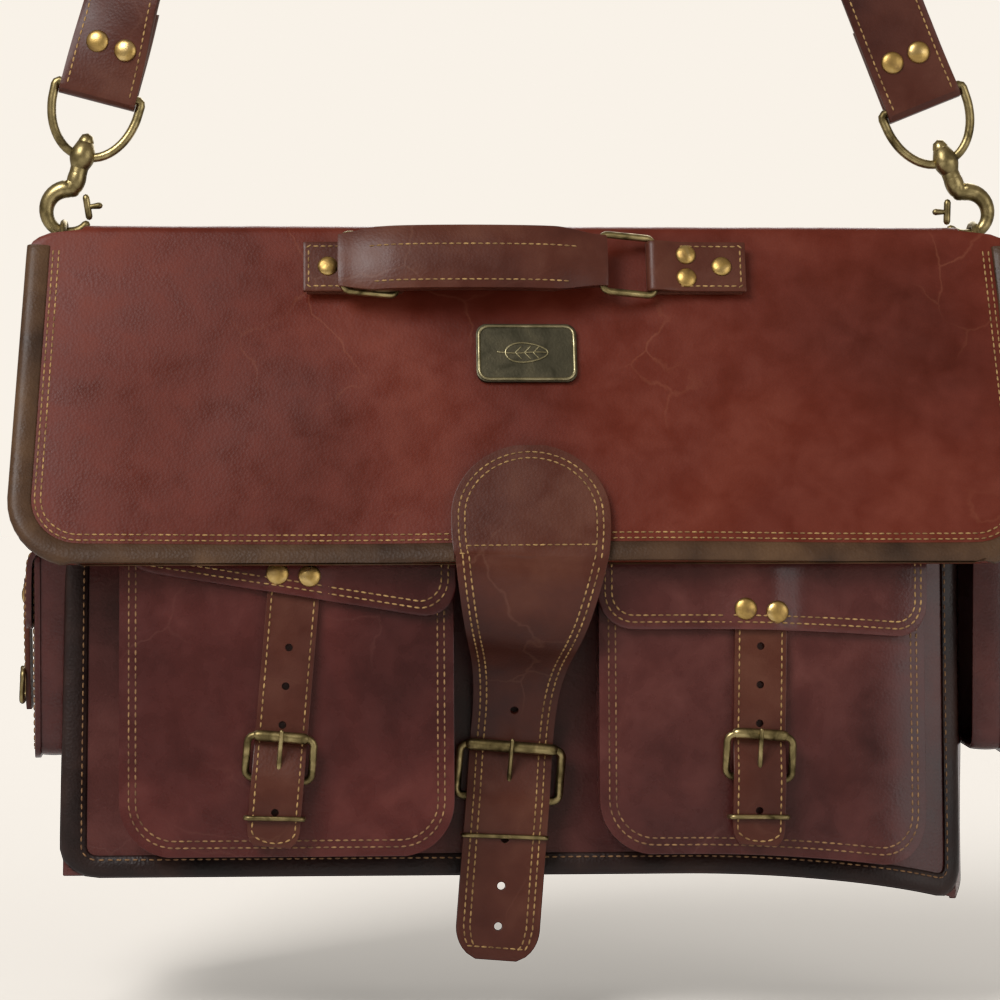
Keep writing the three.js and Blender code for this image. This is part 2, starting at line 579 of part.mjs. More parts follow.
const dividerTop = BACK_HEIGHT - DIVIDER_DROP;
piece(bag, "divider", box(-inside, inside, DIVIDER_Y, dividerBack, FLOOR_TOP, dividerTop), lining);
const trimWidth = BINDING_LAP;
const trimFoot = FLOOR_TOP + POCKET_FOOT - 2 * CLEAR;
const trimOutline = outline([
  [-HALF, FRONT_LENGTH],
  [-HALF, FLOOR_TOP],
  [HALF, FLOOR_TOP],
  [HALF, FRONT_LENGTH],
  [HALF - trimWidth, FRONT_LENGTH],
  [HALF - trimWidth, trimFoot],
  [trimWidth - HALF, trimFoot],
  [trimWidth - HALF, FRONT_LENGTH],
]);
piece(front, "front_binding", plate(trimOutline, -CLEAR - BINDING_PROUD, -CLEAR), bindingLeather);

// The back part of the flap: sewn across the back, it covers the top and ends at the crown.
const skirtY = BACK_Y + CLEAR;
const roofLine = [
  [skirtY, BACK_HEIGHT - SKIRT_LENGTH],
  [skirtY, BACK_HEIGHT + LEATHER],
  [BACK_Y - ROOF_SETBACK, BACK_HEIGHT + ROOF_RISE],
  [CROWN_Y + LEATHER + 4 * CLEAR, CROWN_HEIGHT - LEATHER - 4 * CLEAR],
].reverse();
const roof = strip(roofLine.map(([y, z]) => [-y, z]), LEATHER);
const hookRoom = HOOK_EYE + HOOK_WIRE + 4 * CLEAR;
const notches = [-1, 1].map((side) => {
  const ends = [side * (ringX - hookRoom), side * (ringX + hookRoom)].sort((a, b) => a - b);
  return box(...ends, D_RING_Y - hookRoom, D_RING_Y + hookRoom, BACK_HEIGHT, FAR);
});
piece(bag, "flap_roof", cut(slab(roof, BODY_WIDTH).rotateZ(Math.PI), ...notches), flapLeather);

// D-rings on leather tabs at the tops of the gussets.
for (const [prefix, side] of [["left", -1], ["right", 1]]) {
  const mount = group(bag, [side * HALF, D_RING_Y, ringFoot], [0, 0, side * Math.PI / 2]);
  const hang = group(mount, [0, -CLEAR - tabOuter, 0], [0, 0, 0], prefix + "_d_ring_pivot");
  const tabWidth = D_RING_WIDTH - 2 * D_RING_WIRE - 4 * CLEAR;
  const tab = loopedTab(D_RING_WIRE, LOOP_WALL, D_RING_TAB_LENGTH, tabWidth);
  piece(hang, prefix + "_d_ring_tab", tab, strapLeather);
  const r = D_RING_WIDTH / 2;
  const round = (degrees) => at(r * Math.cos(rad(degrees)), 0, D_RING_SIDE + r * Math.sin(rad(degrees)));
  const arc = new THREE.CatmullRomCurve3([at(-r, 0, 0), ...spread(180, 0, 6).map(round), at(r, 0, 0)]);
  const foot = bar(at(-r - D_RING_WIRE * 0.8, 0, 0), at(r + D_RING_WIRE * 0.8, 0, 0), D_RING_WIRE);
  piece(hang, prefix + "_d_ring", join(foot, rod(arc, D_RING_WIRE, 20)), antiqueBrass);
}

// ---- Main flap and what is on it ----
const flap = group(bag, [0, CROWN_Y, CROWN_HEIGHT], [-FLAP_ANGLE, 0, 0], "flap_pivot");
const hingeRoom = 2 * CLEAR;
function flapOutline(grow = 0) {
  const top = HALF + FLAP_TOP_OVERHANG + grow;
  const low = HALF + FLAP_OVERHANG + grow;
  const foot = -FLAP_LENGTH - grow;
  const corner = FLAP_CORNER + grow;
  const shoulder = FLAP_SHOULDER;
  const shape = new THREE.Shape();
  shape.moveTo(-low + corner, foot);
  shape.lineTo(low - corner, foot);
  shape.absarc(low - corner, foot + corner, corner, -Math.PI / 2, 0);
  shape.lineTo(top, -shoulder - hingeRoom);
  shape.quadraticCurveTo(top, -hingeRoom, top - shoulder, -hingeRoom);
  shape.lineTo(-top + shoulder, -hingeRoom);
  shape.quadraticCurveTo(-top, -hingeRoom, -top, -shoulder - hingeRoom);
  shape.absarc(-low + corner, foot + corner, corner, Math.PI, Math.PI * 1.5);
  return shape;
}
piece(flap, "main_flap", plate(flapOutline(), 0, LEATHER), flapLeather);
const bindingFace = CLEAR + BINDING_PROUD;
const bindingShell = plate(flapOutline(bindingFace), -bindingFace, LEATHER + bindingFace);
const byTheHinge = box(-FAR, FAR, -FAR, FAR, -BINDING_START, FAR);
const innerField = plate(flapOutline(-BINDING_LAP), -FAR, FAR);
piece(
  flap,
  "flap_binding",
  cut(bindingShell, plate(flapOutline(CLEAR), -CLEAR, LEATHER + CLEAR), innerField, byTheHinge),
  bindingLeather,
);
const face = -CLEAR; // where a piece that lies on the flap begins
const badgeSide = BADGE_WIDTH / 2;
const badgeTop = BADGE_HEIGHT / 2;
const badge = roundedRectangle(-badgeSide, badgeSide, -badgeTop, badgeTop, BADGE_CORNER);
const badgePlate = plate(badge, face - BADGE_THICKNESS, face).translate(0, 0, -BADGE_DROP);
piece(flap, "badge_plate", badgePlate, darkBronze);
const headFace = face - BINDING_PROUD - CLEAR;
const headHalf = CLOSURE_HEAD_WIDTH / 2;
const headTop = CLOSURE_HEAD_LENGTH - FLAP_LENGTH;
const headShape = roundedRectangle(-headHalf, headHalf, -FLAP_LENGTH, headTop, CLEAR, CLOSURE_HEAD_CORNER);
piece(flap, "closure_strap_head", plate(headShape, headFace - LEATHER, headFace), strapLeather);

// ---- Handle: two tabs, two rings and the grip, a linkage that folds flat to the left ----
const ringOuter = loopOuter(WIRE, LOOP_WALL);
const ringHalf = TAB_WIDTH / 2 + CLEAR + WIRE;
const handleFold = rad(HANDLE_REST_ANGLE);
for (const [prefix, side] of [["left", -1], ["right", 1]]) {
  const mount = group(flap, [side * HANDLE_SPAN / 2, -CLEAR - ringOuter, -HANDLE_DROP]);
  const tab = loopedTab(WIRE, LOOP_WALL, TAB_LENGTH, TAB_WIDTH).rotateY(side * -Math.PI / 2);
  piece(mount, "handle_tab_" + prefix, tab, strapLeather);
  const swing = group(mount, [0, 0, 0], [0, 0, handleFold], "handle_ring_" + prefix + "_pivot");
  piece(swing, "handle_ring_" + prefix, wireRing(-RING_REACH, 0, -ringHalf, ringHalf, WIRE), antiqueBrass);
}
const gripAt = [
  -HANDLE_SPAN / 2 - RING_REACH * Math.cos(handleFold),
  -CLEAR - ringOuter - RING_REACH * Math.sin(handleFold),
  -HANDLE_DROP,
];
const grip = group(flap, gripAt, [0, 0, 0], "handle_grip_pivot");
const archEnd = HANDLE_SPAN - HANDLE_ARCH_RUN;
const gripTop = -ringOuter - HANDLE_ARCH;
const gripSide = outline([
  [0, -ringOuter],
  [0, -WIRE - 2 * CLEAR],
  [HANDLE_ARCH_RUN, gripTop + HANDLE_THICKNESS],
  [archEnd, gripTop + HANDLE_THICKNESS],
  [HANDLE_SPAN, -WIRE - 2 * CLEAR],
  [HANDLE_SPAN, -ringOuter],
  [archEnd, gripTop],
  [HANDLE_ARCH_RUN, gripTop],
]);
function prism(shape, height) {
  const settings = { depth: height, bevelEnabled: false, curveSegments: 6 };
  return new THREE.ExtrudeGeometry(shape, settings).translate(0, 0, -height / 2);
}
const gripEnds = [0, HANDLE_SPAN].map((x) => prism(disc(x, 0, ringOuter, WIRE + CLEAR), TAB_WIDTH));
piece(grip, "handle_grip", join(prism(gripSide, HANDLE_WIDTH), ...gripEnds), strapLeather);

// ---- Closure strap and its buckle ----
const flapEdge = seenFrom(front, flap, 0, headFace - LEATHER, -FLAP_LENGTH);
const closureFrameWidth = CLOSURE_WIDTH + CLOSURE_FRAME_ROOM;
const leftPocketEdge = POCKET_OFFSET_LEFT * BODY_WIDTH + POCKET_WIDTH / 2;
const closureAside = -leftPocketEdge - closureFrameWidth / 2 - CLOSURE_WIRE - 2 * CLEAR;
const closureLean = Math.atan2(closureAside, flapEdge[1] - CLOSURE_BUCKLE_HEIGHT); // against the left pocket
const closure = group(front, [0, 0, flapEdge[1]], [0, closureLean, 0]);
const closurePivotY = flapEdge[0] - CLEAR;
const closureStrapPivot = group(closure, [0, closurePivotY, 0], [0, 0, 0], "closure_strap_pivot");
const closureHeel = (flapEdge[1] - CLOSURE_BUCKLE_HEIGHT) / Math.cos(closureLean);
const closureFace = group(closure, [0, 0, -closureHeel]);
buckle(closureFace, "closure_buckle", {
  width: closureFrameWidth,
  height: CLOSURE_FRAME_HEIGHT,
  wire: CLOSURE_WIRE,
  billet: CLOSURE_WIDTH,
  thickness: LEATHER,
});
const overClosure = -billetOut(CLOSURE_WIRE) - LEATHER - CLEAR;
keeper(closureFace, "closure_keeper", KEEPER_DROP, CLOSURE_WIDTH, overClosure);
const closureTail = (CLOSURE_BUCKLE_HEIGHT + CLOSURE_TIP_BELOW) / Math.cos(closureLean);
const closureTop = [closurePivotY, closureHeel - 8 * CLEAR];
const closureBend = [closurePivotY, closureHeel - 3 * LEATHER];
const closureRun = billetLine(closureBend, CLOSURE_WIRE, CLOSURE_FRAME_HEIGHT, closureTail);
const closureLine = [closureTop, ...closureRun];
const neck = CLOSURE_WIDTH / 2;
const headFoot = headHalf * CLOSURE_HEAD_NARROWING;
const tongue = outline([
  [-headFoot, closureHeel + LEATHER],
  [-neck - 2 * CLEAR, CLOSURE_FRAME_HEIGHT + BILLET_BEND],
  [-neck, CLOSURE_FRAME_HEIGHT - BILLET_BEND],
  [-neck, -closureTail + neck],
  [-neck * 0.7, -closureTail + neck * 0.3],
  [0, -closureTail],
  [neck * 0.7, -closureTail + neck * 0.3],
  [neck, -closureTail + neck],
  [neck, CLOSURE_FRAME_HEIGHT - BILLET_BEND],
  [neck + 2 * CLEAR, CLOSURE_FRAME_HEIGHT + BILLET_BEND],
  [headFoot, closureHeel + LEATHER],
]);
const closureBillet = cut(
  common(slab(strip(closureLine, LEATHER), CLOSURE_HEAD_WIDTH), plate(tongue, -FAR, FAR)),
  prongSlot(CLOSURE_FRAME_HEIGHT, -FAR, 0),
);
closureBillet.translate(0, -closurePivotY, -closureHeel);
piece(closureStrapPivot, "closure_strap", closureBillet, strapLeather);

// ---- Pockets: an open shell, a flap over its mouth and a strap on the flap ----
function pocket(parent, prefix, { width, height, depth, corner, drop, strapWidth, strapX = 0 }) {
  const half = width / 2;
  const shell = plate(roundedRectangle(-half, half, 0, height, corner, CLEAR), -depth, -CLEAR);
  const wall = THIN_LEATHER;
  const room = roundedRectangle(-half + wall, half - wall, wall, height + corner, corner - wall, CLEAR);
  piece(parent, prefix + "_pocket", cut(shell, plate(room, -depth + wall, depth)), bodyLeather);
  const hingeAt = [0, -CLEAR, height + POCKET_FLAP_RISE];
  const hinge = group(parent, hingeAt, [0, 0, 0], prefix + "_pocket_flap_pivot");
  const frontIn = -depth - CLEAR;
  const top = -wall - CLEAR; // the hinge line is along the upper face, so the flap can fold right back
  const edge = -POCKET_FLAP_RISE - drop;
  const flapLine = [
    [-CLEAR, top],
    [-depth + wall, top],
    [frontIn, -POCKET_FLAP_RISE + CLEAR],
    [frontIn, edge],
  ];
  const cover = slab(strip(flapLine, wall), width + 2 * BINDING_PROUD);
  const faceY = frontIn - wall;
  const stubHalf = strapWidth / 2;
  const stubTop = edge + Math.min(drop - POCKET_FLAP_RISE, STUB_LENGTH);
  const stubEnds = [strapX - stubHalf, strapX + stubHalf];
  const stubShape = roundedRectangle(...stubEnds, edge + CLEAR, stubTop, CLEAR, wall);
  const stub = plate(stubShape, faceY - wall, faceY + CLEAR);
  piece(hinge, prefix + "_pocket_flap", join(cover, stub), bodyLeather);
  return { hinge, edge, strapY: faceY - wall };
}

// Each with its offset, the lean of its strap, the drop of its flap and the strap's place across it.
const frontPockets = [
  ["left", POCKET_OFFSET_LEFT, LEFT_STRAP_LEAN, LEFT_FLAP_DROP, LEFT_STRAP_OFFSET],
  ["right", POCKET_OFFSET_RIGHT, RIGHT_STRAP_LEAN, RIGHT_FLAP_DROP, RIGHT_STRAP_OFFSET],
];
for (const [prefix, offset, leanDegrees, drop, strapX] of frontPockets) {
  const base = group(front, [offset * BODY_WIDTH, 0, FLOOR_TOP + POCKET_FOOT]);
  const { edge, strapY } = pocket(base, prefix, {
    width: POCKET_WIDTH,
    height: POCKET_HEIGHT,
    depth: POCKET_DEPTH,
    corner: POCKET_CORNER,
    strapWidth: POCKET_STRAP_WIDTH,
    drop,
    strapX,
  });
  const edgeZ = POCKET_HEIGHT + POCKET_FLAP_RISE + edge;
  const lean = rad(leanDegrees);
  const hangs = group(base, [strapX, -POCKET_DEPTH, edgeZ], [0, lean, 0]);
  const topY = strapY - CLEAR + POCKET_DEPTH + THIN_LEATHER;
  const strapPivot = group(hangs, [0, topY, 0], [0, 0, 0], prefix + "_pocket_strap_pivot");
  const toHeel = (edgeZ - POCKET_BUCKLE_HEIGHT) / Math.cos(lean);
  const holder = group(hangs, [0, 0, -toHeel]);
  buckle(holder, prefix + "_buckle", {
    width: POCKET_STRAP_WIDTH + POCKET_FRAME_ROOM,
    height: POCKET_FRAME_HEIGHT,
    wire: WIRE,
    billet: POCKET_STRAP_WIDTH,
    thickness: THIN_LEATHER,
  });
  const overStrap = -billetOut(WIRE) - THIN_LEATHER - CLEAR;
  keeper(holder, prefix + "_keeper", KEEPER_DROP, POCKET_STRAP_WIDTH, overStrap);
  const strapLine = billetLine([topY, toHeel - 4 * CLEAR], WIRE, POCKET_FRAME_HEIGHT, POCKET_STRAP_BELOW);
  const half = POCKET_STRAP_WIDTH / 2;
  const tip = roundedRectangle(-half, half, -POCKET_STRAP_BELOW, toHeel, half * TIP_ROUNDING, CLEAR);
  const billet = cut(
    common(slab(strip(strapLine, THIN_LEATHER), 2 * POCKET_STRAP_WIDTH), plate(tip, -FAR, FAR)),
    prongSlot(POCKET_FRAME_HEIGHT, -FAR, 0),
  );
  piece(strapPivot, prefix + "_pocket_strap", billet.translate(0, -topY, -toHeel), strapLeather);
}
for (const [prefix, side] of [["left_side", -1], ["right_side", 1]]) {
  const base = group(bag, [side * HALF, SIDE_POCKET_Y, SIDE_POCKET_FOOT], [0, 0, side * Math.PI / 2]);
  const { hinge, edge, strapY } = pocket(base, prefix, {
    width: SIDE_POCKET_WIDTH,
    height: SIDE_POCKET_HEIGHT,
    depth: SIDE_POCKET_DEPTH,
    corner: SIDE_POCKET_CORNER,
    drop: SIDE_POCKET_FLAP_DROP,
    strapWidth: SIDE_STRAP_WIDTH,
  });
  const half = SIDE_STRAP_WIDTH / 2;
  const low = edge - SIDE_STRAP_BELOW;
  const tail = roundedRectangle(-half, half, low, edge - 2 * CLEAR, SIDE_STRAP_CORNER, CLEAR);
  piece(hinge, prefix + "_strap", plate(tail, strapY, strapY + THIN_LEATHER), strapLeather);
}

export default satchel;
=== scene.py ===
import math

import bmesh
import bpy
from mathutils import Matrix, Vector, noise


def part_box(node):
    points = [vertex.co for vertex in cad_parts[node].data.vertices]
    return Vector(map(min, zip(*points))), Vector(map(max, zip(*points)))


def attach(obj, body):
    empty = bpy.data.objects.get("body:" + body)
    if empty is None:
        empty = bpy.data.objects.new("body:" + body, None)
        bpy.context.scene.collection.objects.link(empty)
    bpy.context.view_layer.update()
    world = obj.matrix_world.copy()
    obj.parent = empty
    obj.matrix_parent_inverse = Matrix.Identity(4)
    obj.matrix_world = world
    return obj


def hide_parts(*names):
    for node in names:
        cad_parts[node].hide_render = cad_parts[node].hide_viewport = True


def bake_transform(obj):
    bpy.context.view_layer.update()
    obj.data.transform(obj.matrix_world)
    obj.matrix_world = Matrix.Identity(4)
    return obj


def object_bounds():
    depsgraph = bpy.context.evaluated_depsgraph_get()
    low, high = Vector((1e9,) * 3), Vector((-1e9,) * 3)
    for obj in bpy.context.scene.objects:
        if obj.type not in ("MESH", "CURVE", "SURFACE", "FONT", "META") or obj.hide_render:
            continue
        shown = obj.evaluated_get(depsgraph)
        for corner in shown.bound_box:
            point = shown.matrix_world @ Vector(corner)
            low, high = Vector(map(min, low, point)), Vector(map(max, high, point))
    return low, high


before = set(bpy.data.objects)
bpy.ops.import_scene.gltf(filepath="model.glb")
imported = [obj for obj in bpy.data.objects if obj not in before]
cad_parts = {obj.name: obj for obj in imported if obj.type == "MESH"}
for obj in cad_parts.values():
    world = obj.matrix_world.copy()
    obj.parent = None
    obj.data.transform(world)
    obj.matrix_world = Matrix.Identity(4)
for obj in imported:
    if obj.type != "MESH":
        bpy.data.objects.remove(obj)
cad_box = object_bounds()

# ---------------------------------------------------------------------------------------------
# Camera, light and floor. The bag hangs in front of a pale sweep, lit by a large soft light from
# the upper left and a weaker one from the right, and is seen a little from its right and above.
# ---------------------------------------------------------------------------------------------
MM = 0.001
BACK_FROM_AXIS = 46
base_low, base_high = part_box("base_panel")
bag_x = (base_low.x + base_high.x) / 2
bag_y = base_high.y - BACK_FROM_AXIS * MM
bag_z = base_low.z


def bag(x, y, z):
    """A place on the bag: millimetres from the middle of its base, y to the back and z up."""
    return Vector((bag_x + x * MM, bag_y + y * MM, bag_z + z * MM))


aim = bag(-12, -50, 172)
azimuth, elevation, distance = math.radians(-3), math.radians(2.5), 1.6
back_off = Vector((math.sin(azimuth), -math.cos(azimuth), math.tan(elevation))).normalized()
camera_data = bpy.data.cameras.new("camera")
camera_data.lens = 36 * distance / 0.4465
camera = bpy.data.objects.new("camera", camera_data)
camera.location = aim + back_off * distance
camera.rotation_mode = "QUATERNION"
camera.rotation_quaternion = (-back_off).to_track_quat("-Z", "Y")
bpy.context.scene.collection.objects.link(camera)
bpy.context.scene.camera = camera


def colour(code):
    """An sRGB hex colour as the linear RGBA that the shaders take."""
    channels = [int(code[i:i + 2], 16) / 255 for i in (1, 3, 5)]
    return [c / 12.92 if c <= 0.04045 else ((c + 0.055) / 1.055) ** 2.4 for c in channels] + [1.0]


def soft_light(name, place, width, power):
    data = bpy.data.lights.new(name, "AREA")
    data.size = width
    data.energy = power
    light = bpy.data.objects.new(name, data)
    light.location = place
    light.rotation_mode = "QUATERNION"
    light.rotation_quaternion = (place - aim).to_track_quat("Z", "Y")
    bpy.context.scene.collection.objects.link(light)


soft_light("key_light", aim + Vector((-0.9, -1.1, 1.2)), 0.9, 26)
soft_light("fill_light", aim + Vector((1.3, -1.2, 0.3)), 1.2, 7)
soft_light("back_light", aim + Vector((0.3, 1.5, 0.9)), 1.2, 12)
world = bpy.data.worlds.new("studio")
world.use_nodes = True
pale = world.node_tree.nodes["Background"]
pale.inputs["Color"].default_value = colour("#f9f2e8")
pale.inputs["Strength"].default_value = 1.0
dim = world.node_tree.nodes.new("ShaderNodeBackground")
dim.inputs["Color"].default_value = colour("#e9dccd")
dim.inputs["Strength"].default_value = 0.42
seen = world.node_tree.nodes.new("ShaderNodeLightPath")
both = world.node_tree.nodes.new("ShaderNodeMixShader")
world.node_tree.links.new(seen.outputs["Is Camera Ray"], both.inputs["Fac"])
world.node_tree.links.new(dim.outputs["Background"], both.inputs[1])
world.node_tree.links.new(pale.outputs["Background"], both.inputs[2])
world.node_tree.links.new(both.outputs["Shader"], world.node_tree.nodes["World Output"].inputs["Surface"])
bpy.context.scene.world = world
bpy.context.scene.view_settings.view_transform = "Standard"


def only(piece):
    bpy.ops.object.select_all(action="DESELECT")
    piece.select_set(True)
    bpy.context.view_layer.objects.active = piece


bpy.ops.object.select_all(action="DESELECT")
bpy.ops.mesh.primitive_plane_add(size=8, location=(bag_x, bag_y, cad_box[0].z - 0.03))
floor = bpy.context.active_object
floor.name = "floor"
floor.is_shadow_catcher = True


# ---------------------------------------------------------------------------------------------
# Main flap: one piece of waxed red-brown buffalo hide, sewn across the back, laid over the top
# and down the front. Handling has left pale creases and darker, oiled patches on it.
# ---------------------------------------------------------------------------------------------
def add(tree, kind, inputs={}, **settings):
    """Adds one node; an input is a value or another node's output socket."""
    made = tree.nodes.new(kind)
    for key, value in settings.items():
        setattr(made, key, value)
    for key, value in inputs.items():
        if isinstance(value, bpy.types.NodeSocket):
            tree.links.new(value, made.inputs[key])
        else:
            made.inputs[key].default_value = value
    return made


def new_material(name):
    material = bpy.data.materials.new(name)
    material.use_nodes = True
    tree = material.node_tree
    return material, tree, tree.nodes["Principled BSDF"]


def ramp(tree, factor, stops):
    made = add(tree, "ShaderNodeValToRGB", {"Fac": factor})
    elements = made.color_ramp.elements
    while len(elements) < len(stops):
        elements.new(0.5)
    for element, (position, code) in zip(elements, stops):
        element.position = position
        element.color = colour(code)
    return made.outputs["Color"]


def mix(tree, factor, a, b, blend="MIX"):
    made = add(tree, "ShaderNodeMix", {"Factor": factor}, data_type="RGBA", blend_type=blend)
    for socket, value in ((made.inputs[6], a), (made.inputs[7], b)):
        if isinstance(value, bpy.types.NodeSocket):
            tree.links.new(value, socket)
        else:
            socket.default_value = value
    return made.outputs[2]


def fine_noise(tree, where, size_mm, detail=4.0, distortion=0.0):
    inputs = {"Vector": where, "Scale": 1000 / size_mm, "Detail": detail, "Distortion": distortion}
    return add(tree, "ShaderNodeTexNoise", inputs).outputs["Fac"]


def spread(tree, value, low, high, to_low=0.0, to_high=1.0):
    inputs = {"Value": value, "From Min": low, "From Max": high, "To Min": to_low, "To Max": to_high}
    return add(tree, "ShaderNodeMapRange", inputs).outputs["Result"]


def leather(name, dark, middle, light, crease=None, creases=0.0, rough=0.42, patch_mm=90, pull=0.5, shine=0.12):
    """Tanned cowhide: patches of dye, a fine pebbled grain, soft wrinkles and pale scuffed creases."""
    material, tree, shader = new_material(name)
    where = add(tree, "ShaderNodeTexCoord").outputs["Object"]
    patches = fine_noise(tree, where, patch_mm, 5.0, 0.6)
    mottle = fine_noise(tree, where, 14, 6.0, 0.3)
    tone = mix(tree, 0.3, patches, mottle)
    dye = ramp(tree, tone, [(0.3, dark), (0.5, middle), (0.72, light)])
    grain = add(
        tree, "ShaderNodeTexVoronoi", {"Vector": where, "Scale": 1000 / 1.3, "Randomness": 1.0}, feature="F1"
    ).outputs["Distance"]
    wrinkle = fine_noise(tree, where, 7, 5.0, 1.2)
    height = mix(tree, 0.5, grain, wrinkle)
    if creases:
        bent = add(
            tree, "ShaderNodeVectorMath", {0: where, 1: (0.0, 0.0, 0.0)}, operation="ADD"
        )
        shift = add(tree, "ShaderNodeTexNoise", {"Vector": where, "Scale": 14.0, "Detail": 6.0})
        scaled = add(
            tree, "ShaderNodeVectorMath", {0: shift.outputs["Color"], "Scale": 0.06}, operation="SCALE"
        ).outputs[0]
        tree.links.new(scaled, bent.inputs[1])
        cracks = add(
            tree, "ShaderNodeTexVoronoi", {"Vector": bent.outputs[0], "Scale": 16.0},
            feature="DISTANCE_TO_EDGE",
        ).outputs["Distance"]
        thin = spread(tree, cracks, 0.0, 0.012, 1.0, 0.0)
        chosen = spread(tree, fine_noise(tree, where, 70, 2.0), 0.5, 0.66)
        line = add(tree, "ShaderNodeMath", {0: thin, 1: chosen}, operation="MULTIPLY").outputs[0]
        faint = add(tree, "ShaderNodeMath", {0: line, 1: creases}, operation="MULTIPLY").outputs[0]
        dye = mix(tree, faint, dye, colour(crease))
        height = mix(tree, faint, height, (0.0, 0.0, 0.0, 1.0))
    bump = add(tree, "ShaderNodeBump", {"Strength": pull, "Distance": 0.0005, "Height": height})
    tree.links.new(dye, shader.inputs["Base Color"])
    tree.links.new(bump.outputs["Normal"], shader.inputs["Normal"])
    gloss = spread(tree, mottle, 0.3, 0.7, rough - 0.09, rough + 0.12)
    tree.links.new(gloss, shader.inputs["Roughness"])
    shader.inputs["Specular IOR Level"].default_value = 0.22
    shader.inputs["Coat Weight"].default_value = shine
    shader.inputs["Coat Roughness"].default_value = 0.24
    return material


def leather_sheet(name, across, along, place, thickness, material, edge=0.5, sharp=40):
    """A cut piece of hide: a grid whose rows and columns are laid at the given stops by place(a, b),
    thickened behind that face, with its cut edges rounded off. Sizes are in millimetres."""
    bpy.ops.object.select_all(action="DESELECT")
    columns, rows = len(across) - 1, len(along) - 1
    bpy.ops.mesh.primitive_grid_add(x_subdivisions=columns, y_subdivisions=rows, size=2)
    piece = bpy.context.active_object
    piece.name = name
    for vertex in piece.data.vertices:
        a = across[round((vertex.co.x + 1) / 2 * columns)]
        b = along[round((vertex.co.y + 1) / 2 * rows)]
        vertex.co = place(a, b)
    wall = piece.modifiers.new("wall", "SOLIDIFY")
    wall.thickness = thickness * MM
    wall.offset = -1
    wall.use_even_offset = False
    bpy.ops.object.modifier_apply(modifier="wall")
    if edge:
        rounding = piece.modifiers.new("edge", "BEVEL")
        rounding.width = edge * MM
        rounding.segments = 2
        rounding.limit_method = "ANGLE"
        rounding.angle_limit = math.radians(60)
        bpy.ops.object.modifier_apply(modifier="edge")
    bpy.ops.object.shade_smooth_by_angle(angle=math.radians(sharp))
    piece.data.materials.append(material)
    return piece


def steps(low, high, count):
    return [low + (high - low) * i / count for i in range(count + 1)]


def softened(points, rounds=3):
    """A line of points with its corners cut, which leaves its ends where they are."""
    for _ in range(rounds):
        cut = [points[0]]
        for a, b in zip(points, points[1:]):
            cut += [a.lerp(b, 0.25), a.lerp(b, 0.75)]
        points = cut[:1] + cut[2:-2] + [points[-1]] if len(cut) > 4 else points
    return points


class Line:
    """A line through points, read by the distance along it in millimetres."""

    def __init__(self, points, rounds=3):
        self.points = softened([Vector(p) for p in points], rounds)
        self.at = [0.0]
        for a, b in zip(self.points, self.points[1:]):
            self.at.append(self.at[-1] + (b - a).length)
        self.length = self.at[-1]

    def __call__(self, distance):
        distance = min(max(distance, 0.0), self.length)
        low, high = 0, len(self.at) - 1
        while high - low > 1:
            middle = (low + high) // 2
            low, high = (middle, high) if self.at[middle] <= distance else (low, middle)
        share = (distance - self.at[low]) / max(self.at[high] - self.at[low], 1e-9)
        return self.points[low].lerp(self.points[high], share)

    def way(self, distance):
        return (self(distance + 0.6) - self(distance - 0.6)).normalized()


FLAP_LENGTH, FLAP_LEAN, CROWN = 161, math.radians(21.5), Vector((-24, 296))
flap_down = Vector((-math.sin(FLAP_LEAN), -math.cos(FLAP_LEAN)))
roof_line = Line([(50.2, 203), (50.2, 264), (42, 281), (12, 289.5), (-20, 296.6), CROWN + flap_down * 7,
                  CROWN + flap_down * FLAP_LENGTH])
crown_at = next(d for d in steps(0, roof_line.length, 900) if roof_line(d).x < CROWN.x + 1)
flap_end = roof_line.length - crown_at
CORNER = 30


def flap_half(d):
    """Half the width of the flap, d millimetres below the crown, or behind it where d is negative."""
    if d < -40:
        return 203
    if d < -26:
        return 203 - 12 * (d + 40) / 14
    if d < 0:
        return 191 + 8 * (d + 26) / 26
    if d < 9:
        return 199 + 23 * math.sqrt(1 - (1 - d / 9) ** 2)
    wide = 222 + 7 * (d - 9) / (flap_end - 9)
    below = d - (flap_end - CORNER)
    return wide if below <= 0 else wide - CORNER + math.sqrt(max(CORNER ** 2 - below ** 2, 0))


def flap_face(x, d, lift=0.0):
    """A point on the outer face of the flap, with the sag and the waves that the hide has taken."""
    middle, way = roof_line(crown_at + d), roof_line.way(crown_at + d)
    out = Vector((way.y, -way.x))
    low = max(d, 0) / flap_end
    wave = 1.6 * low ** 2 * math.sin(x / 48 + 0.8) + 1.1 * noise.noise(Vector((x / 70, d / 55, 2.0)))
    place = middle + out * (lift + wave * min(1, abs(d) / 20 + 0.15))
    return bag(x, place.x, place.y)


hide = leather("waxed_buffalo_hide", "#431409", "#5a2013", "#6f3020", "#9a6248", 0.2, 0.38, 150, 0.2, 0.06)
down_stops = steps(-crown_at, -14, 26) + steps(-12, 20, 16)[1:] + steps(22, flap_end - CORNER, 22) + [
    flap_end - CORNER + CORNER * math.sin(math.radians(a)) for a in range(8, 91, 8)]
flap_piece = leather_sheet(
    "flap_hide", steps(-1, 1, 72), down_stops, lambda u, d: flap_face(-u * flap_half(d), d), 3.0, hide)
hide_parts("main_flap", "flap_roof")
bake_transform(flap_piece)

# ---------------------------------------------------------------------------------------------
# Binding of the flap: a strip of thin brown leather folded round the cut edge and held by two rows
# of waxed gold thread, which run through the flap just inside the strip.
# ---------------------------------------------------------------------------------------------
BINDING_LAP = 9


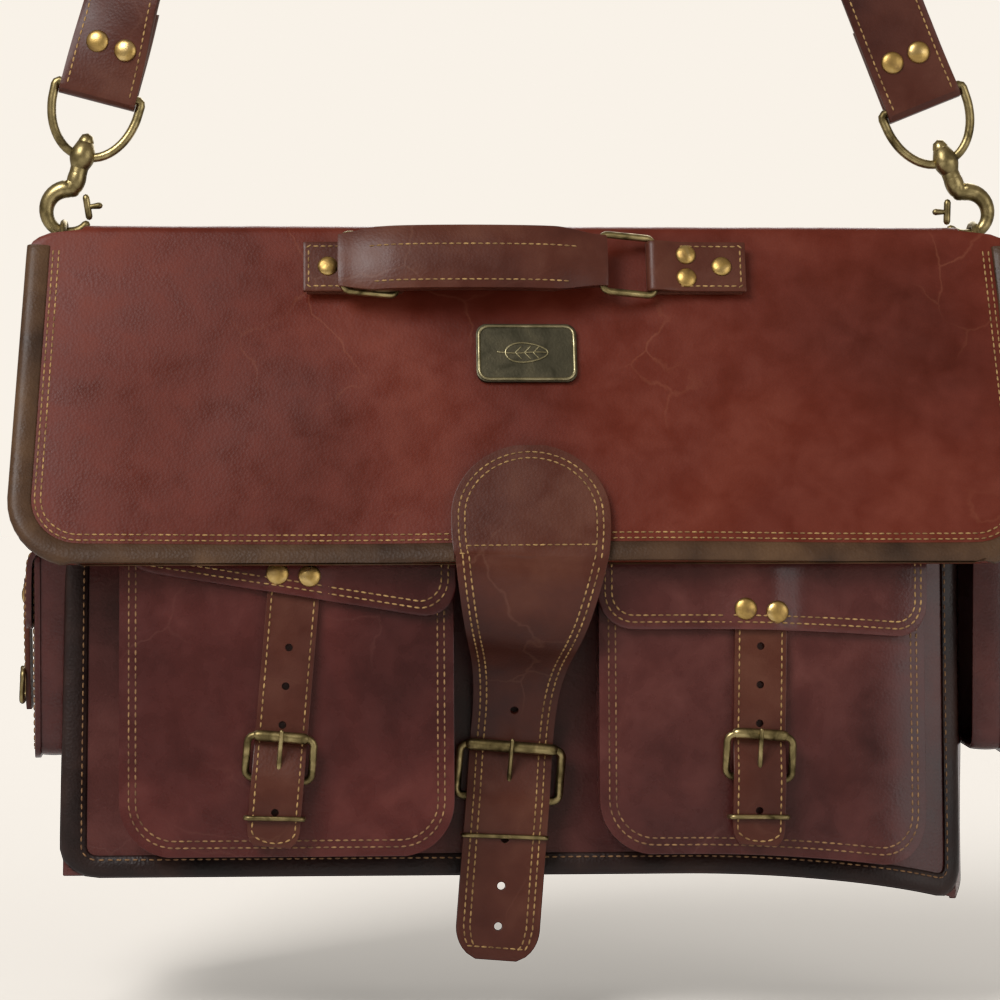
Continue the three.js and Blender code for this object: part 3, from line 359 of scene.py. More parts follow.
def thread_material(name, dark, light):
    """Waxed linen thread: twisted strands that have picked up dye from the leather."""
    material, tree, shader = new_material(name)
    where = add(tree, "ShaderNodeTexCoord").outputs["Object"]
    tone = fine_noise(tree, where, 6, 3.0)
    strands = add(tree, "ShaderNodeTexWave", {"Vector": where, "Scale": 900.0, "Distortion": 3.0}).outputs["Fac"]
    tree.links.new(ramp(tree, tone, [(0.35, dark), (0.65, light)]), shader.inputs["Base Color"])
    bump = add(tree, "ShaderNodeBump", {"Strength": 0.5, "Distance": 0.0002, "Height": strands})
    tree.links.new(bump.outputs["Normal"], shader.inputs["Normal"])
    shader.inputs["Roughness"].default_value = 0.7
    return material


gold_thread = thread_material("gold_linen_thread", "#7d5c35", "#b8935c")
dull_thread = thread_material("dyed_linen_thread", "#6b4a30", "#a07a50")


def one_stitch():
    """A single stitch: a small rounded bead of thread that dips into the leather at both ends."""
    bpy.ops.object.select_all(action="DESELECT")
    bpy.ops.mesh.primitive_uv_sphere_add(segments=6, ring_count=5, radius=1)
    made = bpy.context.active_object
    bpy.ops.object.mode_set(mode="EDIT")
    bpy.ops.mesh.select_all(action="SELECT")
    bpy.ops.transform.rotate(value=math.pi / 2, orient_axis="Y", center_override=(0, 0, 0))
    bpy.ops.object.mode_set(mode="OBJECT")
    shape = bmesh.new()
    shape.from_mesh(made.data)
    bpy.data.objects.remove(made, do_unlink=True)
    return shape


stitch_shape = one_stitch()
stitch_points = [v.co.copy() for v in stitch_shape.verts]
stitch_faces = [[v.index for v in f.verts] for f in stitch_shape.faces]
STITCH_HALF, THREAD = 1.25, 0.42


def seam(name, face, rows, material=gold_thread, pitch=3.2, lift=0.12, closed=False):
    """Stitches along rows of places (a, b) on the surface face(a, b, lift), all in millimetres."""
    points, faces = [], []
    for row in rows:
        line = Line([(a, b, 0) for a, b in row], 0)
        count = max(int(line.length / pitch), 1)
        for i in range(count):
            s = (i + 0.5) * line.length / count
            here, way = line(s), line.way(s)
            middle = face(here.x, here.y, lift)
            ahead = face(here.x + way.x, here.y + way.y, lift) - middle
            out = face(here.x, here.y, lift + 1) - middle
            along = (ahead - out * (ahead.dot(out) / out.dot(out))).normalized()
            out = out.normalized()
            side = out.cross(along)
            turn = 0.09 * noise.noise(middle * 900)
            along, side = along + side * turn, side - along * turn
            start = len(points)
            for p in stitch_points:
                offset = along * (p.x * STITCH_HALF) + side * (p.y * THREAD) + out * (p.z * THREAD)
                points.append(middle + offset * MM)
            faces += [[start + v for v in f] for f in stitch_faces]
    mesh = bpy.data.meshes.new(name)
    mesh.from_pydata(points, [], faces)
    mesh.shade_smooth()
    mesh.materials.append(material)
    piece = bpy.data.objects.new(name, mesh)
    bpy.context.scene.collection.objects.link(piece)
    return piece


def corner_stops(side, radius, count=7):
    return [side + radius * math.sin(math.radians(90 * i / count)) for i in range(count + 1)]


def rim_line(inset, start=8):
    """The edge of the flap, from near the left end of the crown round to the right end, as (x, d)."""
    low, half = flap_end - inset, flap_half(flap_end - CORNER) - inset
    radius = CORNER - inset
    left = [(-(flap_half(d) - inset), d) for d in steps(start, flap_end - CORNER, 20)]
    arc = [math.radians(90 * i / 10) for i in range(1, 10)]
    bend = [(-(half - radius + radius * math.cos(t)), low - radius + radius * math.sin(t)) for t in arc]
    floor_run = [(x, low) for x in steps(-(half - radius), half - radius, 60)]
    right = [(-x, d) for x, d in reversed(left + bend)]
    return left + bend + floor_run + right


def folded_edge(name, face, rim, section, material, spacing=5.0, thickness=1.1):
    """A strip folded over an edge: section lists (distance in from the edge, height off the face)."""
    line = Line([(a, b, 0) for a, b in rim], 0)

    def place(k, s):
        here, way = line(s), line.way(s)
        inward, out = section[int(k)]
        return face(here.x - way.y * -inward, here.y + way.x * -inward, out)

    stops = steps(0, line.length, int(line.length / spacing))
    return leather_sheet(name, list(range(len(section))), stops, place, thickness, material, 0.3, 60)


bound = leather("bound_edge_leather", "#2b1c12", "#46301f", "#5e442c", rough=0.5, patch_mm=40, pull=0.6)
lap = [(BINDING_LAP, 0.25), (BINDING_LAP - 0.8, 1.25), (2.0, 1.45), (0.2, 1.1), (-1.2, 0.0), (-1.5, -1.6),
       (-1.0, -3.4), (0.6, -4.3), (BINDING_LAP, -4.2)]


def flap_skin(x, d, lift=0.0):
    return flap_face(x, d, lift)


flap_edge = folded_edge("flap_bound_edge", flap_skin, rim_line(0), lap, bound)
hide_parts("flap_binding")
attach(flap_edge, "flap")
flap_seams = seam("flap_edge_stitches", flap_skin, [rim_line(BINDING_LAP + 1.6, 10), rim_line(BINDING_LAP + 4.2, 10)])
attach(flap_seams, "flap")


# ---------------------------------------------------------------------------------------------
# Front of the body: one panel of dark wine leather that leans back to the mouth of the bag. Years of
# carrying have let its lower right corner sag, and its right side has curved back a little.
# ---------------------------------------------------------------------------------------------
FRONT_LEAN = math.atan2(29, 256)
FRONT_FOOT = -50
HALF = 204


def front(x, out, z):
    """A place on the front of the body: out from the panel and z up it, in millimetres."""
    right = min(max((x - 70) / 134, 0), 1)
    left = min(max((-x - 178) / 26, 0), 1)
    low = min(max(1 - z / 240, 0), 1)
    z = z - 14 * right * right * low
    bent = min(max((x - 150) / 54, 0), 1) ** 2
    out = out - 11 * bent * (0.4 + 0.6 * low)
    x = x - 7 * bent - 4 * low * left * left
    cosine, sine = math.cos(FRONT_LEAN), math.sin(FRONT_LEAN)
    return bag(x, FRONT_FOOT - out * cosine + z * sine, z * cosine + out * sine)


def front_face(x, z, lift=0.0):
    wave = 1.3 * noise.noise(Vector((x / 60, z / 60, 5.0))) - 1.2
    return front(x, lift + wave, z)


wine = leather("wine_cowhide", "#2f1212", "#4b221f", "#65352f", "#7d5850", 0.16, 0.27, 80, 0.3, 0.35)
FRONT_FOOT_Z, FRONT_CORNER = 4.6, 13


def front_half(z):
    """Half the width of the front panel at a height; its lower corners are rounded."""
    below = FRONT_FOOT_Z + FRONT_CORNER - z
    return HALF if below <= 0 else HALF - FRONT_CORNER + math.sqrt(max(FRONT_CORNER ** 2 - below ** 2, 0))


front_rows = [FRONT_FOOT_Z + FRONT_CORNER * (1 - math.cos(math.radians(a))) for a in range(6, 91, 12)]
front_piece = leather_sheet(
    "front_panel_leather", steps(-1, 1, 60), front_rows + steps(22, 256, 36),
    lambda u, z: front_face(u * front_half(z), z), 3.0, wine)
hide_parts("front_panel")
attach(front_piece, "bag")

# ---------------------------------------------------------------------------------------------
# Front pockets: a face with double-stitched edges, sewn to a gusset wall that stands it off the
# front of the bag. The faces bulge, and the walls fold in where the pockets have been pressed flat.
# ---------------------------------------------------------------------------------------------
POCKET_FOOT, POCKET_HEIGHT, POCKET_DEPTH = 13.3, 137.8, 36


def u_shape(half, height, radius, inset):
    """The sides and rounded foot of a pocket from its top left corner to its top right, as (x, z)."""
    half, radius = half - inset, max(radius - inset, 1)
    arc = [math.radians(90 * i / 9) for i in range(1, 9)]
    left = [(-half, z) for z in steps(height, inset + radius, 18)]
    bend = [(-(half - radius + radius * math.cos(t)), inset + radius - radius * math.sin(t)) for t in arc]
    run = [(x, inset) for x in steps(-(half - radius), half - radius, 16)]
    return left + bend + run + [(-x, z) for x, z in reversed(left + bend)]


def make_pocket(prefix, place, half, height, depth, radius, bulge, material, nodes, thread, thickness=2.4):
    """place(x, out, z) puts a point of the pocket on the bag. Returns the surface of its face, face(x, z, lift)."""

    def width(z):
        below = radius - z
        return half if below <= 0 else half - radius + math.sqrt(max(radius ** 2 - below ** 2, 0))

    def face(x, z, lift=0.0):
        u, v = min(abs(x) / half, 1), min(max(z / height, 0), 1)
        swell = bulge * (1 - u ** 4) * math.sin(math.pi * min(v * 0.9 + 0.08, 1)) ** 0.8
        crumple = 0.25 * bulge * noise.noise(Vector((x / 38, z / 34, half + len(prefix))))
        return place(x, depth + lift + swell + crumple - 0.5 * bulge * (u ** 6), z)

    stops = [radius * (1 - math.cos(math.radians(a))) for a in range(6, 91, 7)] + steps(radius, height, 24)[1:]
    columns = [math.sin(math.radians(a)) for a in range(-90, 91, 5)]
    front_part = leather_sheet(
        prefix + "_pocket_face", columns, stops, lambda u, z: face(u * width(z), z), thickness, material, 0.7)
    outline = Line([(x, z, 0) for x, z in u_shape(half, height, radius, 1.8)], 0)

    def wall(k, s):
        here = outline(s)
        out = (0.4, 4, 10, 18, 26, 31, depth / 36 * 33.6)[int(k)] if depth > 30 else depth * k / 6.6 + 0.4
        way = outline.way(s)
        fold = -1.6 * math.sin(math.pi * out / depth) * (depth / 36)
        return place(here.x - way.y * fold, out, here.y + way.x * fold)

    wall_part = leather_sheet(
        prefix + "_pocket_gusset", list(range(6, -1, -1)), steps(0, outline.length, 70), wall, 2.0, material, 0.4)
    rows = [u_shape(half, height - 2, radius, 4.2), u_shape(half, height - 2, radius, 7.2)]
    threads = seam(prefix + "_pocket_stitches", face, rows, thread, 3.4)
    for piece in (front_part, wall_part, threads):
        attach(piece, "bag")
    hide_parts(*nodes)
    return face


# A darker, redder copy of the wine leather for the left pocket and its flap: painted shade, so that the left pocket
# reads darker than the sheen-lit right one.
left_pocket_shaded_wine = leather("wine_cowhide_painted_shade", "#34100f", "#4b1d1a", "#66302a", "#7d5248", 0.16, 0.27, 80, 0.3, 0.35)
pocket_faces = {}
# The left pocket takes the darker copy with painted shade; the right one takes the plain wine leather.
for prefix, middle, material in (("left", -107, left_pocket_shaded_wine), ("right", 104, wine)):

    def on_front(x, out, z, middle=middle):
        return front(middle + x, out, POCKET_FOOT + z)

    pocket_faces[prefix] = make_pocket(
        prefix, on_front, 73.4, POCKET_HEIGHT, POCKET_DEPTH - 0.6, 24, 1.3, material, [prefix + "_pocket"], dull_thread)

# ---------------------------------------------------------------------------------------------
# Pocket flaps: thin leather sewn to the front panel above each pocket, folded over its mouth and
# hanging down its face, with two rows of stitching along the edge. The left one hangs crooked.
# ---------------------------------------------------------------------------------------------
def make_flap(prefix, body, place, half, line, drop, radius, material, nodes, thread, slant=0.0, wave=1.0,
              ridge=None):
    """line runs from the hinge over the mouth and down, as (out, z); drop is the mean length."""
    path = Line([(a, b, 0) for a, b in line])

    def end(x):
        over = max(abs(x) - (half - radius), 0) / radius
        return drop + slant * x / half - radius * (1 - math.sqrt(max(1 - over ** 2, 0)))

    def face(x, s, lift=0.0):
        here, way = path(s), path.way(s)
        ripple = wave * noise.noise(Vector((x / 40, s / 30, drop))) * min(s / 30, 1)
        if ridge is not None:
            beside = min(max((14.5 - abs(x - ridge)) / 3.5, 0), 1)
            ripple += 2.5 * beside * beside * (3 - 2 * beside) * min(max((s - 40) / 9, 0), 1)
        more = max(s - path.length, 0)
        return place(x, here.x + way.y * -(lift + ripple), here.y + way.x * (lift + ripple) - more)

    columns = [-half + 2 * half * (0.5 - 0.5 * math.cos(math.radians(a))) for a in range(0, 181, 5)]
    sheet = leather_sheet(
        prefix + "_flap_leather", columns[::-1], steps(0, 1, 30), lambda x, t: face(x, t * end(x)), 2.4, material, 0.6)
    rows = []
    for inset in (3.2, 6.2):
        low = [(x, end(x) - inset) for x in steps(-(half - radius), half - radius, 30)]
        arcs = [math.radians(90 * i / 8) for i in range(1, 9)]
        left = [
            (-(half - radius + (radius - inset) * math.sin(t)),
             end(-(half - radius)) - radius + (radius - inset) * math.cos(t)) for t in arcs
        ]
        right = [
            (half - radius + (radius - inset) * math.sin(t),
             end(half - radius) - radius + (radius - inset) * math.cos(t)) for t in arcs
        ]
        rows.append([(inset - half, 8)] + left[::-1] + low + right + [(half - inset, 8)])
    threads = seam(prefix + "_flap_stitches", face, rows, thread, 3.3)
    for piece in (sheet, threads):
        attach(piece, body)
    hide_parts(*nodes)
    return face


over_mouth = [(0.6, 142.6), (16, 143.4), (30, 142.6), (36.5, 140.6), (39.2, 135), (39.8, 120), (39.6, 90)]
flap_faces = {}
# The left pocket flap also takes the darker copy of the wine leather with painted shade.
for prefix, middle, drop, slant, ridge, material in (
    ("left", -107, 62, 12.0, 3, left_pocket_shaded_wine),
    ("right", 104, 78, 0.0, -2, wine),
):

    def at_mouth(x, out, z, middle=middle):
        return front(middle + x, out, POCKET_FOOT + z)

    flap_faces[prefix] = make_flap(
        prefix + "_pocket", prefix + "_pocket_flap", at_mouth, 74.2, over_mouth, drop, 16, material,
        [prefix + "_pocket_flap"], gold_thread, slant, 1.0, ridge)


# ---------------------------------------------------------------------------------------------
# Pocket straps and their buckles. A strap is riveted under the flap, comes down through a cast
# buckle with a turning roller and is kept down by a wire loop. A short chape holds the buckle.
# ---------------------------------------------------------------------------------------------
def brass_material(name, dark, middle, bright, rough=0.34):
    """Antique brass: lacquered brown in the hollows, rubbed bright where it has been handled."""
    material, tree, shader = new_material(name)
    where = add(tree, "ShaderNodeTexCoord").outputs["Object"]
    stain = fine_noise(tree, where, 9, 5.0, 0.8)
    dye = ramp(tree, stain, [(0.32, dark), (0.5, middle), (0.7, bright)])
    speck = fine_noise(tree, where, 1.1, 3.0)
    bump = add(tree, "ShaderNodeBump", {"Strength": 0.35, "Distance": 0.0002, "Height": speck})
    tree.links.new(dye, shader.inputs["Base Color"])
    tree.links.new(bump.outputs["Normal"], shader.inputs["Normal"])
    tree.links.new(spread(tree, stain, 0.3, 0.7, rough + 0.14, rough - 0.06), shader.inputs["Roughness"])
    shader.inputs["Metallic"].default_value = 1.0
    return material


antique = brass_material("antique_brass", "#4a3f26", "#857751", "#b3a273")
rivet_brass = brass_material("rivet_brass", "#8a6f45", "#b8995a", "#cdb27a", 0.33)
strap_hide = leather("strap_saddle_leather", "#35150f", "#4a2318", "#5f3626", "#85604e", 0.15, 0.38, 80, 0.25)


def closed_up():
    """Merges the seam of the active piece and turns its faces outward."""
    bpy.ops.object.mode_set(mode="EDIT")
    bpy.ops.mesh.select_all(action="SELECT")
    bpy.ops.mesh.remove_doubles(threshold=0.00002)
    bpy.ops.mesh.normals_make_consistent(inside=False)
    bpy.ops.object.mode_set(mode="OBJECT")


def rod(name, points, radius, material, closed=False, around=14, shrink=None, flat=None):
    """A bent bar of round wire along world points. Its radius is in millimetres; shrink(share) scales
    it along the bar, and flat is a direction in which it is 0.7 as thick."""
    points = [Vector(p) for p in points]
    radii = [radius * (shrink(i / (len(points) - 1)) if shrink else 1) for i in range(len(points))]
    if not closed:
        first, last = (points[0] - points[1]).normalized(), (points[-1] - points[-2]).normalized()
        a, b = radii[0], radii[-1]
        points = [points[0] + first * a * MM, points[0] + first * a * 0.7 * MM] + points + [
            points[-1] + last * b * 0.7 * MM, points[-1] + last * b * MM]
        radii = [a * 0.03, a * 0.7] + radii + [b * 0.7, b * 0.03]
    count = len(points)
    ways = []
    for i in range(count):
        before = points[i - 1] if closed or i else points[0]
        after = points[(i + 1) % count] if closed or i < count - 1 else points[-1]
        ways.append((after - before).normalized())
    side = ways[0].orthogonal().normalized()
    sides = [side]
    for i in range(1, count):
        side = (side - ways[i] * side.dot(ways[i])).normalized()
        sides.append(side)
    if closed:
        back = (sides[-1] - ways[0] * sides[-1].dot(ways[0])).normalized()
        slip = math.atan2(back.cross(sides[0]).dot(ways[0]), back.dot(sides[0]))
    bpy.ops.object.select_all(action="DESELECT")
    rows = count if closed else count - 1
    bpy.ops.mesh.primitive_grid_add(x_subdivisions=around, y_subdivisions=rows, size=2)
    piece = bpy.context.active_object
    piece.name = name
    for vertex in piece.data.vertices:
        k = round((vertex.co.x + 1) / 2 * around) % around
        i = round((vertex.co.y + 1) / 2 * rows)
        turn = 2 * math.pi * k / around + (slip * i / count if closed else 0)
        i %= count
        other = ways[i].cross(sides[i])
        offset = (sides[i] * math.cos(turn) + other * math.sin(turn)) * radii[i] * MM
        if flat is not None:
            offset -= flat * offset.dot(flat) * 0.3
        vertex.co = points[i] + offset
    closed_up()
    piece.data.shade_smooth()
    piece.data.materials.append(material)
    return piece


def rounded_loop(x0, x1, y0, y1, radius, count=5):
    """A closed rectangle with rounded corners, as (x, y)."""
    loop = []
    for cx, cy, start in ((x1 - radius, y1 - radius, 0), (x0 + radius, y1 - radius, 90),
                          (x0 + radius, y0 + radius, 180), (x1 - radius, y0 + radius, 270)):
        for i in range(count + 1):
            t = math.radians(start + 90 * i / count)
            loop.append((cx + radius * math.cos(t), cy + radius * math.sin(t)))
    full = []
    for (ax, ay), (bx, by) in zip(loop, loop[1:] + loop[:1]):
        parts = max(int(math.hypot(bx - ax, by - ay) / 4), 1)
        full += [(ax + (bx - ax) * i / parts, ay + (by - ay) * i / parts) for i in range(parts)]
    return full


def rivet(name, face, a, b, body, radius=5.0, lift=0.0):
    """A domed brass rivet head sitting on the surface face(a, b, lift)."""
    place = face(a, b, lift)
    out = (face(a, b, lift + 1) - place).normalized()
    bpy.ops.object.select_all(action="DESELECT")
    bpy.ops.mesh.primitive_uv_sphere_add(segments=28, ring_count=14, radius=radius * MM)
    dome = bpy.context.active_object
    dome.name = name
    turn = out.to_track_quat("Z", "Y").to_matrix()
    for vertex in dome.data.vertices:
        height = vertex.co.z * (0.42 if vertex.co.z > 0 else 0.1)
        vertex.co = place + turn @ Vector((vertex.co.x, vertex.co.y, height))
    dome.data.shade_smooth()
    dome.data.materials.append(rivet_brass)
    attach(dome, body)
    return dome


def hole_cutter(face, holes, radius):
    """One mesh of pegs through the surface at the places (a, b), to be cut out of a strap."""
    bpy.ops.object.select_all(action="DESELECT")
    pegs = []
    for a, b in holes:
        place = face(a, b, 0)
        out = (face(a, b, 1) - place).normalized()
        bpy.ops.mesh.primitive_cylinder_add(vertices=20, radius=radius * MM, depth=24 * MM)
        peg = bpy.context.active_object
        turn = out.to_track_quat("Z", "Y").to_matrix()
        for vertex in peg.data.vertices:
            vertex.co = place + turn @ vertex.co
        pegs.append(peg)
    for peg in pegs:
        peg.select_set(True)
    bpy.context.view_layer.objects.active = pegs[0]
    bpy.ops.object.join()
    return pegs[0]


def make_strap(name, face, half_at, length, thickness, material, holes=(), hole_radius=1.7, slots=(), rows=60):
    """A strap on the surface face(a, s, lift); half_at(s) is half its width. The tip is at length."""
    stops = steps(0, length - 16, rows) + [length - 16 * math.cos(math.radians(a)) for a in range(8, 89, 8)]
    shares = [math.sin(math.radians(a)) for a in range(-90, 91, 15)]
    strap = leather_sheet(name, shares[::-1], stops, lambda u, s: face(u * half_at(s), s), thickness, material, 0.55)
    if holes:
        pegs = hole_cutter(face, holes, hole_radius)
        only(strap)
        cutting = strap.modifiers.new("holes", "BOOLEAN")
        cutting.operation = "DIFFERENCE"
        cutting.object = pegs
        bpy.ops.object.modifier_apply(modifier="holes")
        bpy.data.objects.remove(pegs, do_unlink=True)
        bpy.ops.object.shade_smooth_by_angle(angle=math.radians(40))
    return strap


def strap_line_face(at, line):
    """The surface of a strap whose outer face follows line, a list of (out, z), in the frame at."""
    path = Line([(a, b, 0) for a, b in line])

    def face(a, s, lift=0.0):
        here, way = path(s), path.way(s)
        return at(a, here.x - way.y * lift, here.y + way.x * lift)

    return face, path


def make_buckle(prefix, at, width, height, wire, billet, thickness):
    """A roller buckle with its chape and keeper. at(x, out, z) measures from the heel bar's foot."""
    heel = 0.3 + wire + 0.3 + 2.2
    bar = heel - wire + thickness + 0.3 + wire + 1.2
    half = width / 2
    slope = (bar - heel) / height
    loop = [at(x, heel + slope * z, z) for x, z in rounded_loop(-half, half, 0, height, 3.4)]
    ring = rod(prefix + "_frame_cast", loop, wire + 0.15, antique, closed=True)
    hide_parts(prefix + "_frame")
    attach(ring, prefix + "_frame")
    roller_low, roller_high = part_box(prefix + "_roller")
    aside = (roller_low + roller_high) / 2 - at(0, bar, height)
    aside.x = 0
    tube = rod(prefix + "_roller_tube", [at(x, bar, height) + aside for x in steps(-half + 4.2, half - 4.2, 10)],
               wire + 1.0, antique, shrink=lambda t: 1 - 0.03 * (abs(t - 0.5) > 0.46))
    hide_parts(prefix + "_roller")
    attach(tube, prefix + "_roller")
    eye = [at(0, heel - 2.6 * math.cos(t), -2.6 * math.sin(t)) for t in [math.radians(a) for a in range(0, 181, 20)]]
    tongue = eye + [at(0, heel + 2.8 + (bar + 1.3 - heel) * t, height * t) for t in (0.2, 0.45, 0.7, 0.92, 1.12)]
    pin = rod(prefix + "_prong_pin", tongue, 1.25, antique, shrink=lambda t: 1.15 - 0.35 * t)
    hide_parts(prefix + "_prong")
    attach(pin, prefix + "_prong")
    front_out = heel + wire + 2.3 + thickness + 1.2
    drop = -17
    wide = billet / 2 + 1.2
    keep = [at(x, out, drop + 0.8 * math.sin(x / wide)) for x, out in rounded_loop(-wide, wide, 2.6, front_out, 2.0, 4)]
    keeper = rod(prefix + "_keeper_wire", keep, 1.05, antique, closed=True, around=10)
    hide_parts(prefix.replace("_buckle", "") + "_keeper")
    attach(keeper, "bag")
    r = wire + 1.9
    around_bar = [(heel + r * -math.cos(math.radians(a)), r * math.sin(math.radians(a))) for a in range(0, 181, 20)]
    chape_line = [(heel - r, -13)] + around_bar + [(heel + 1.0, -5), (heel - 0.4, -9), (heel - 0.6, -13)]
    chape_face, chape_path = strap_line_face(at, chape_line)
    chape = leather_sheet(
        prefix + "_chape_leather", steps(-1, 1, 10)[::-1], steps(0, chape_path.length, 40),
        lambda u, s: chape_face(u * (billet / 2 - 0.6), s), 1.5, strap_hide, 0.3)
    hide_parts(prefix + "_chape")
    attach(chape, "bag")


for prefix, middle, aside, lean, edge_z in (("left", -107, 3, 4.9, 115.8), ("right", 104, -2, 1.6, 101.8)):
    lean = math.radians(lean)
    to_heel = (edge_z - 34) / math.cos(lean)

    def on_strap(x, out, z, middle=middle, aside=aside, lean=lean, edge_z=edge_z, to_heel=to_heel):
        low = z - to_heel
        across = x * math.cos(lean) + low * math.sin(lean)
        up = low * math.cos(lean) - x * math.sin(lean)
        return front(middle + aside + across, 36 + out, POCKET_FOOT + edge_z + up)

    make_buckle(prefix + "_buckle", on_strap, 29, 18.5, 1.5, 23, 2.4)
    line = [(3.2, to_heel + 13), (3.5, to_heel), (4.6, to_heel - 20), (5.3, 30), (5.2, 21), (5.6, 15), (9.4, 5),
            (10.6, 0), (10.6, -8), (9.8, -20), (9.4, -30)]
    face, path = strap_line_face(on_strap, line)
    tip = path.length

    def half_at(s, tip=tip):
        near = max(s - (tip - 9), 0) / 9
        return 11.5 - 5.5 * (1 - math.sqrt(max(1 - near * near, 0)))

    at_heel = tip - 30.6
    holes = [(0, at_heel - 24 - 17 * i) for i in range(3)] + [(0, at_heel + 15)]
    strap = make_strap(prefix + "_pocket_strap_leather", face, half_at, tip, 2.4, strap_hide, holes)
    side = [(9.4, s) for s in steps(2, tip - 8, 30)]
    turn_end = [(9.4 * math.cos(t), tip - 7.5 + 5.2 * math.sin(t)) for t in [math.radians(a) for a in range(10, 171, 16)]]
    rows = [side + turn_end + [(-x, s) for x, s in reversed(side)]]
    threads = seam(prefix + "_pocket_strap_stitches", face, rows, gold_thread, 3.4)
    for piece in (strap, threads):
        on_strap(0, 4, to_heel + 3)
        on_strap(0, 4, to_heel - 8)
        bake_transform(piece)
    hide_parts(prefix + "_pocket_strap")
    flap_face_here = flap_faces[prefix]
    for n, (dx, ds) in enumerate(((-7, -9), (7, -8))):
        rivet(prefix + "_pocket_rivet_" + "ab"[n], flap_face_here, aside + dx, (62 if prefix == "left" else 78) + ds,
              prefix + "_pocket_flap", 5.0)


# ---------------------------------------------------------------------------------------------
# Closure strap: a round-headed tongue of saddle leather, double stitched all round and sewn to the
# flap by a cross row. It tapers to a strap that runs through the large buckle under the flap.
# ---------------------------------------------------------------------------------------------
flap_low = flap_face(0, flap_end, 0) - bag(0, 0, 0)
edge_y, edge_z = flap_low.y / MM, flap_low.z / MM
closure_lean = math.radians(4.65)
head_top = 106
down_length = (edge_z - 38) / math.cos(closure_lean)


def on_closure(x, out, z):
    """Out from the front panel and up from the heel bar of the closure buckle."""
    low = z - down_length
    across = x * math.cos(closure_lean) + low * math.sin(closure_lean)
    up = low * math.cos(closure_lean) - x * math.sin(closure_lean)
    cosine, sine = math.cos(FRONT_LEAN), math.sin(FRONT_LEAN)
    z_panel = edge_z + up
    return bag(across, FRONT_FOOT - out * cosine + z_panel * sine, z_panel * cosine + out * sine)


def panel_out(y, z):
    """Turns a place seen from the side into (out from the front panel, up from the heel bar)."""
    cosine, sine = math.cos(FRONT_LEAN), math.sin(FRONT_LEAN)
    out = -(y - FRONT_FOOT) * cosine + z * sine
    up = (y - FRONT_FOOT) * sine + z * cosine
    return out, up - edge_z + down_length


edge_out, edge_up = panel_out(edge_y, edge_z)
make_buckle("closure_buckle", on_closure, 46, 23, 1.7, 35, 3.0)
hang = [(edge_out + 4.9, edge_up + 3), (edge_out + 4.7, edge_up - 8), (edge_out - 1, edge_up - 30), (18, 56),
        (8, 34), (6.0, 27), (6.2, 20), (11.2, 5), (12.6, 0), (12.2, -10), (10.5, -32), (9.8, -72.5)]
hang_face, hang_path = strap_line_face(on_closure, hang)
head_length = flap_end - head_top


def closure_face(a, s, lift=0.0):
    """The head lies on the flap for its first part; below the flap's edge the strap hangs free."""
    over = min(max((s - head_length + 5) / 10, 0), 1)
    over = over * over * (3 - 2 * over)
    head = flap_face(a, head_top + s, lift + 4.6)
    free = hang_face(a, s - head_length, lift)
    return head.lerp(free, over)


tip_at = head_length + hang_path.length


def closure_half(s):
    if s < 33:
        return 35 * math.sqrt(max(1 - ((33 - s) / 33.5) ** 2, 0.02))
    narrow = min(max((s - 38) / 106, 0), 1)
    half = 35 - 16.4 * (narrow * narrow * (3 - 2 * narrow)) ** 0.85
    near = max(s - (tip_at - 15), 0) / 15
    return half - 13.0 * (1 - math.sqrt(max(1 - near * near, 0)))


heel_at = tip_at - 73.5
closure_holes = [(0, heel_at - 40), (0, heel_at + 19), (0, heel_at + 40), (0, heel_at + 58)]
closure_stops = [33 - 33 * math.cos(math.radians(a)) for a in range(3, 88, 6)] + steps(33, tip_at - 16, 90) + [
    tip_at - 16 * math.cos(math.radians(a)) for a in range(8, 89, 8)]
closure_piece = leather_sheet(
    "closure_strap_leather", [math.sin(math.radians(a)) for a in range(90, -91, -10)], closure_stops,
    lambda u, s: closure_face(u * closure_half(s), s), 3.0, strap_hide, 0.7)
pegs = hole_cutter(closure_face, closure_holes, 1.9)
only(closure_piece)
cutting = closure_piece.modifiers.new("holes", "BOOLEAN")
cutting.object = pegs
bpy.ops.object.modifier_apply(modifier="holes")
bpy.data.objects.remove(pegs, do_unlink=True)
bpy.ops.object.shade_smooth_by_angle(angle=math.radians(40))


def closure_row(inset):
    crown = [33 - (33 - inset) * math.cos(math.radians(a)) for a in range(0, 91, 6)]
    flank = [(max(closure_half(s) - inset, 0), s) for s in steps(36, tip_at - 15, 80)]
    bow = [((35 - inset) * math.sqrt(max(1 - ((33 - s) / (33 - inset + 0.01)) ** 2, 0)), s) for s in crown]
    toe = [(max(closure_half(s) - inset, 0.0), s) for s in (tip_at - 9, tip_at - 6)]
    right = bow + flank + toe
    return right + [(-a, s) for a, s in reversed(right)] + [right[0]]


closure_rows = [closure_row(3.2), closure_row(6.0), [(a, head_length - 6) for a in steps(-29, 29, 12)]]
closure_seams = seam("closure_strap_stitches", closure_face, closure_rows)
for piece in (closure_piece, closure_seams):
    on_closure(0, edge_out, edge_up + 5)
    on_closure(0, edge_out, edge_up - 16)
    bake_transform(piece)
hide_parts("closure_strap", "closure_strap_head")

# ---------------------------------------------------------------------------------------------
# Badge: a small cast bronze plate with a raised rim and a plain leaf emblem, pinned to the flap.
# ---------------------------------------------------------------------------------------------
BADGE_DROP = 61


def on_flap(x, out, d):
    return flap_face(x, d, out)


bronze = brass_material("dark_bronze", "#3b382c", "#4c483a", "#5f5a48", 0.4)
worn_bronze = brass_material("worn_bronze", "#6b6349", "#8d8464", "#aba27f", 0.34)


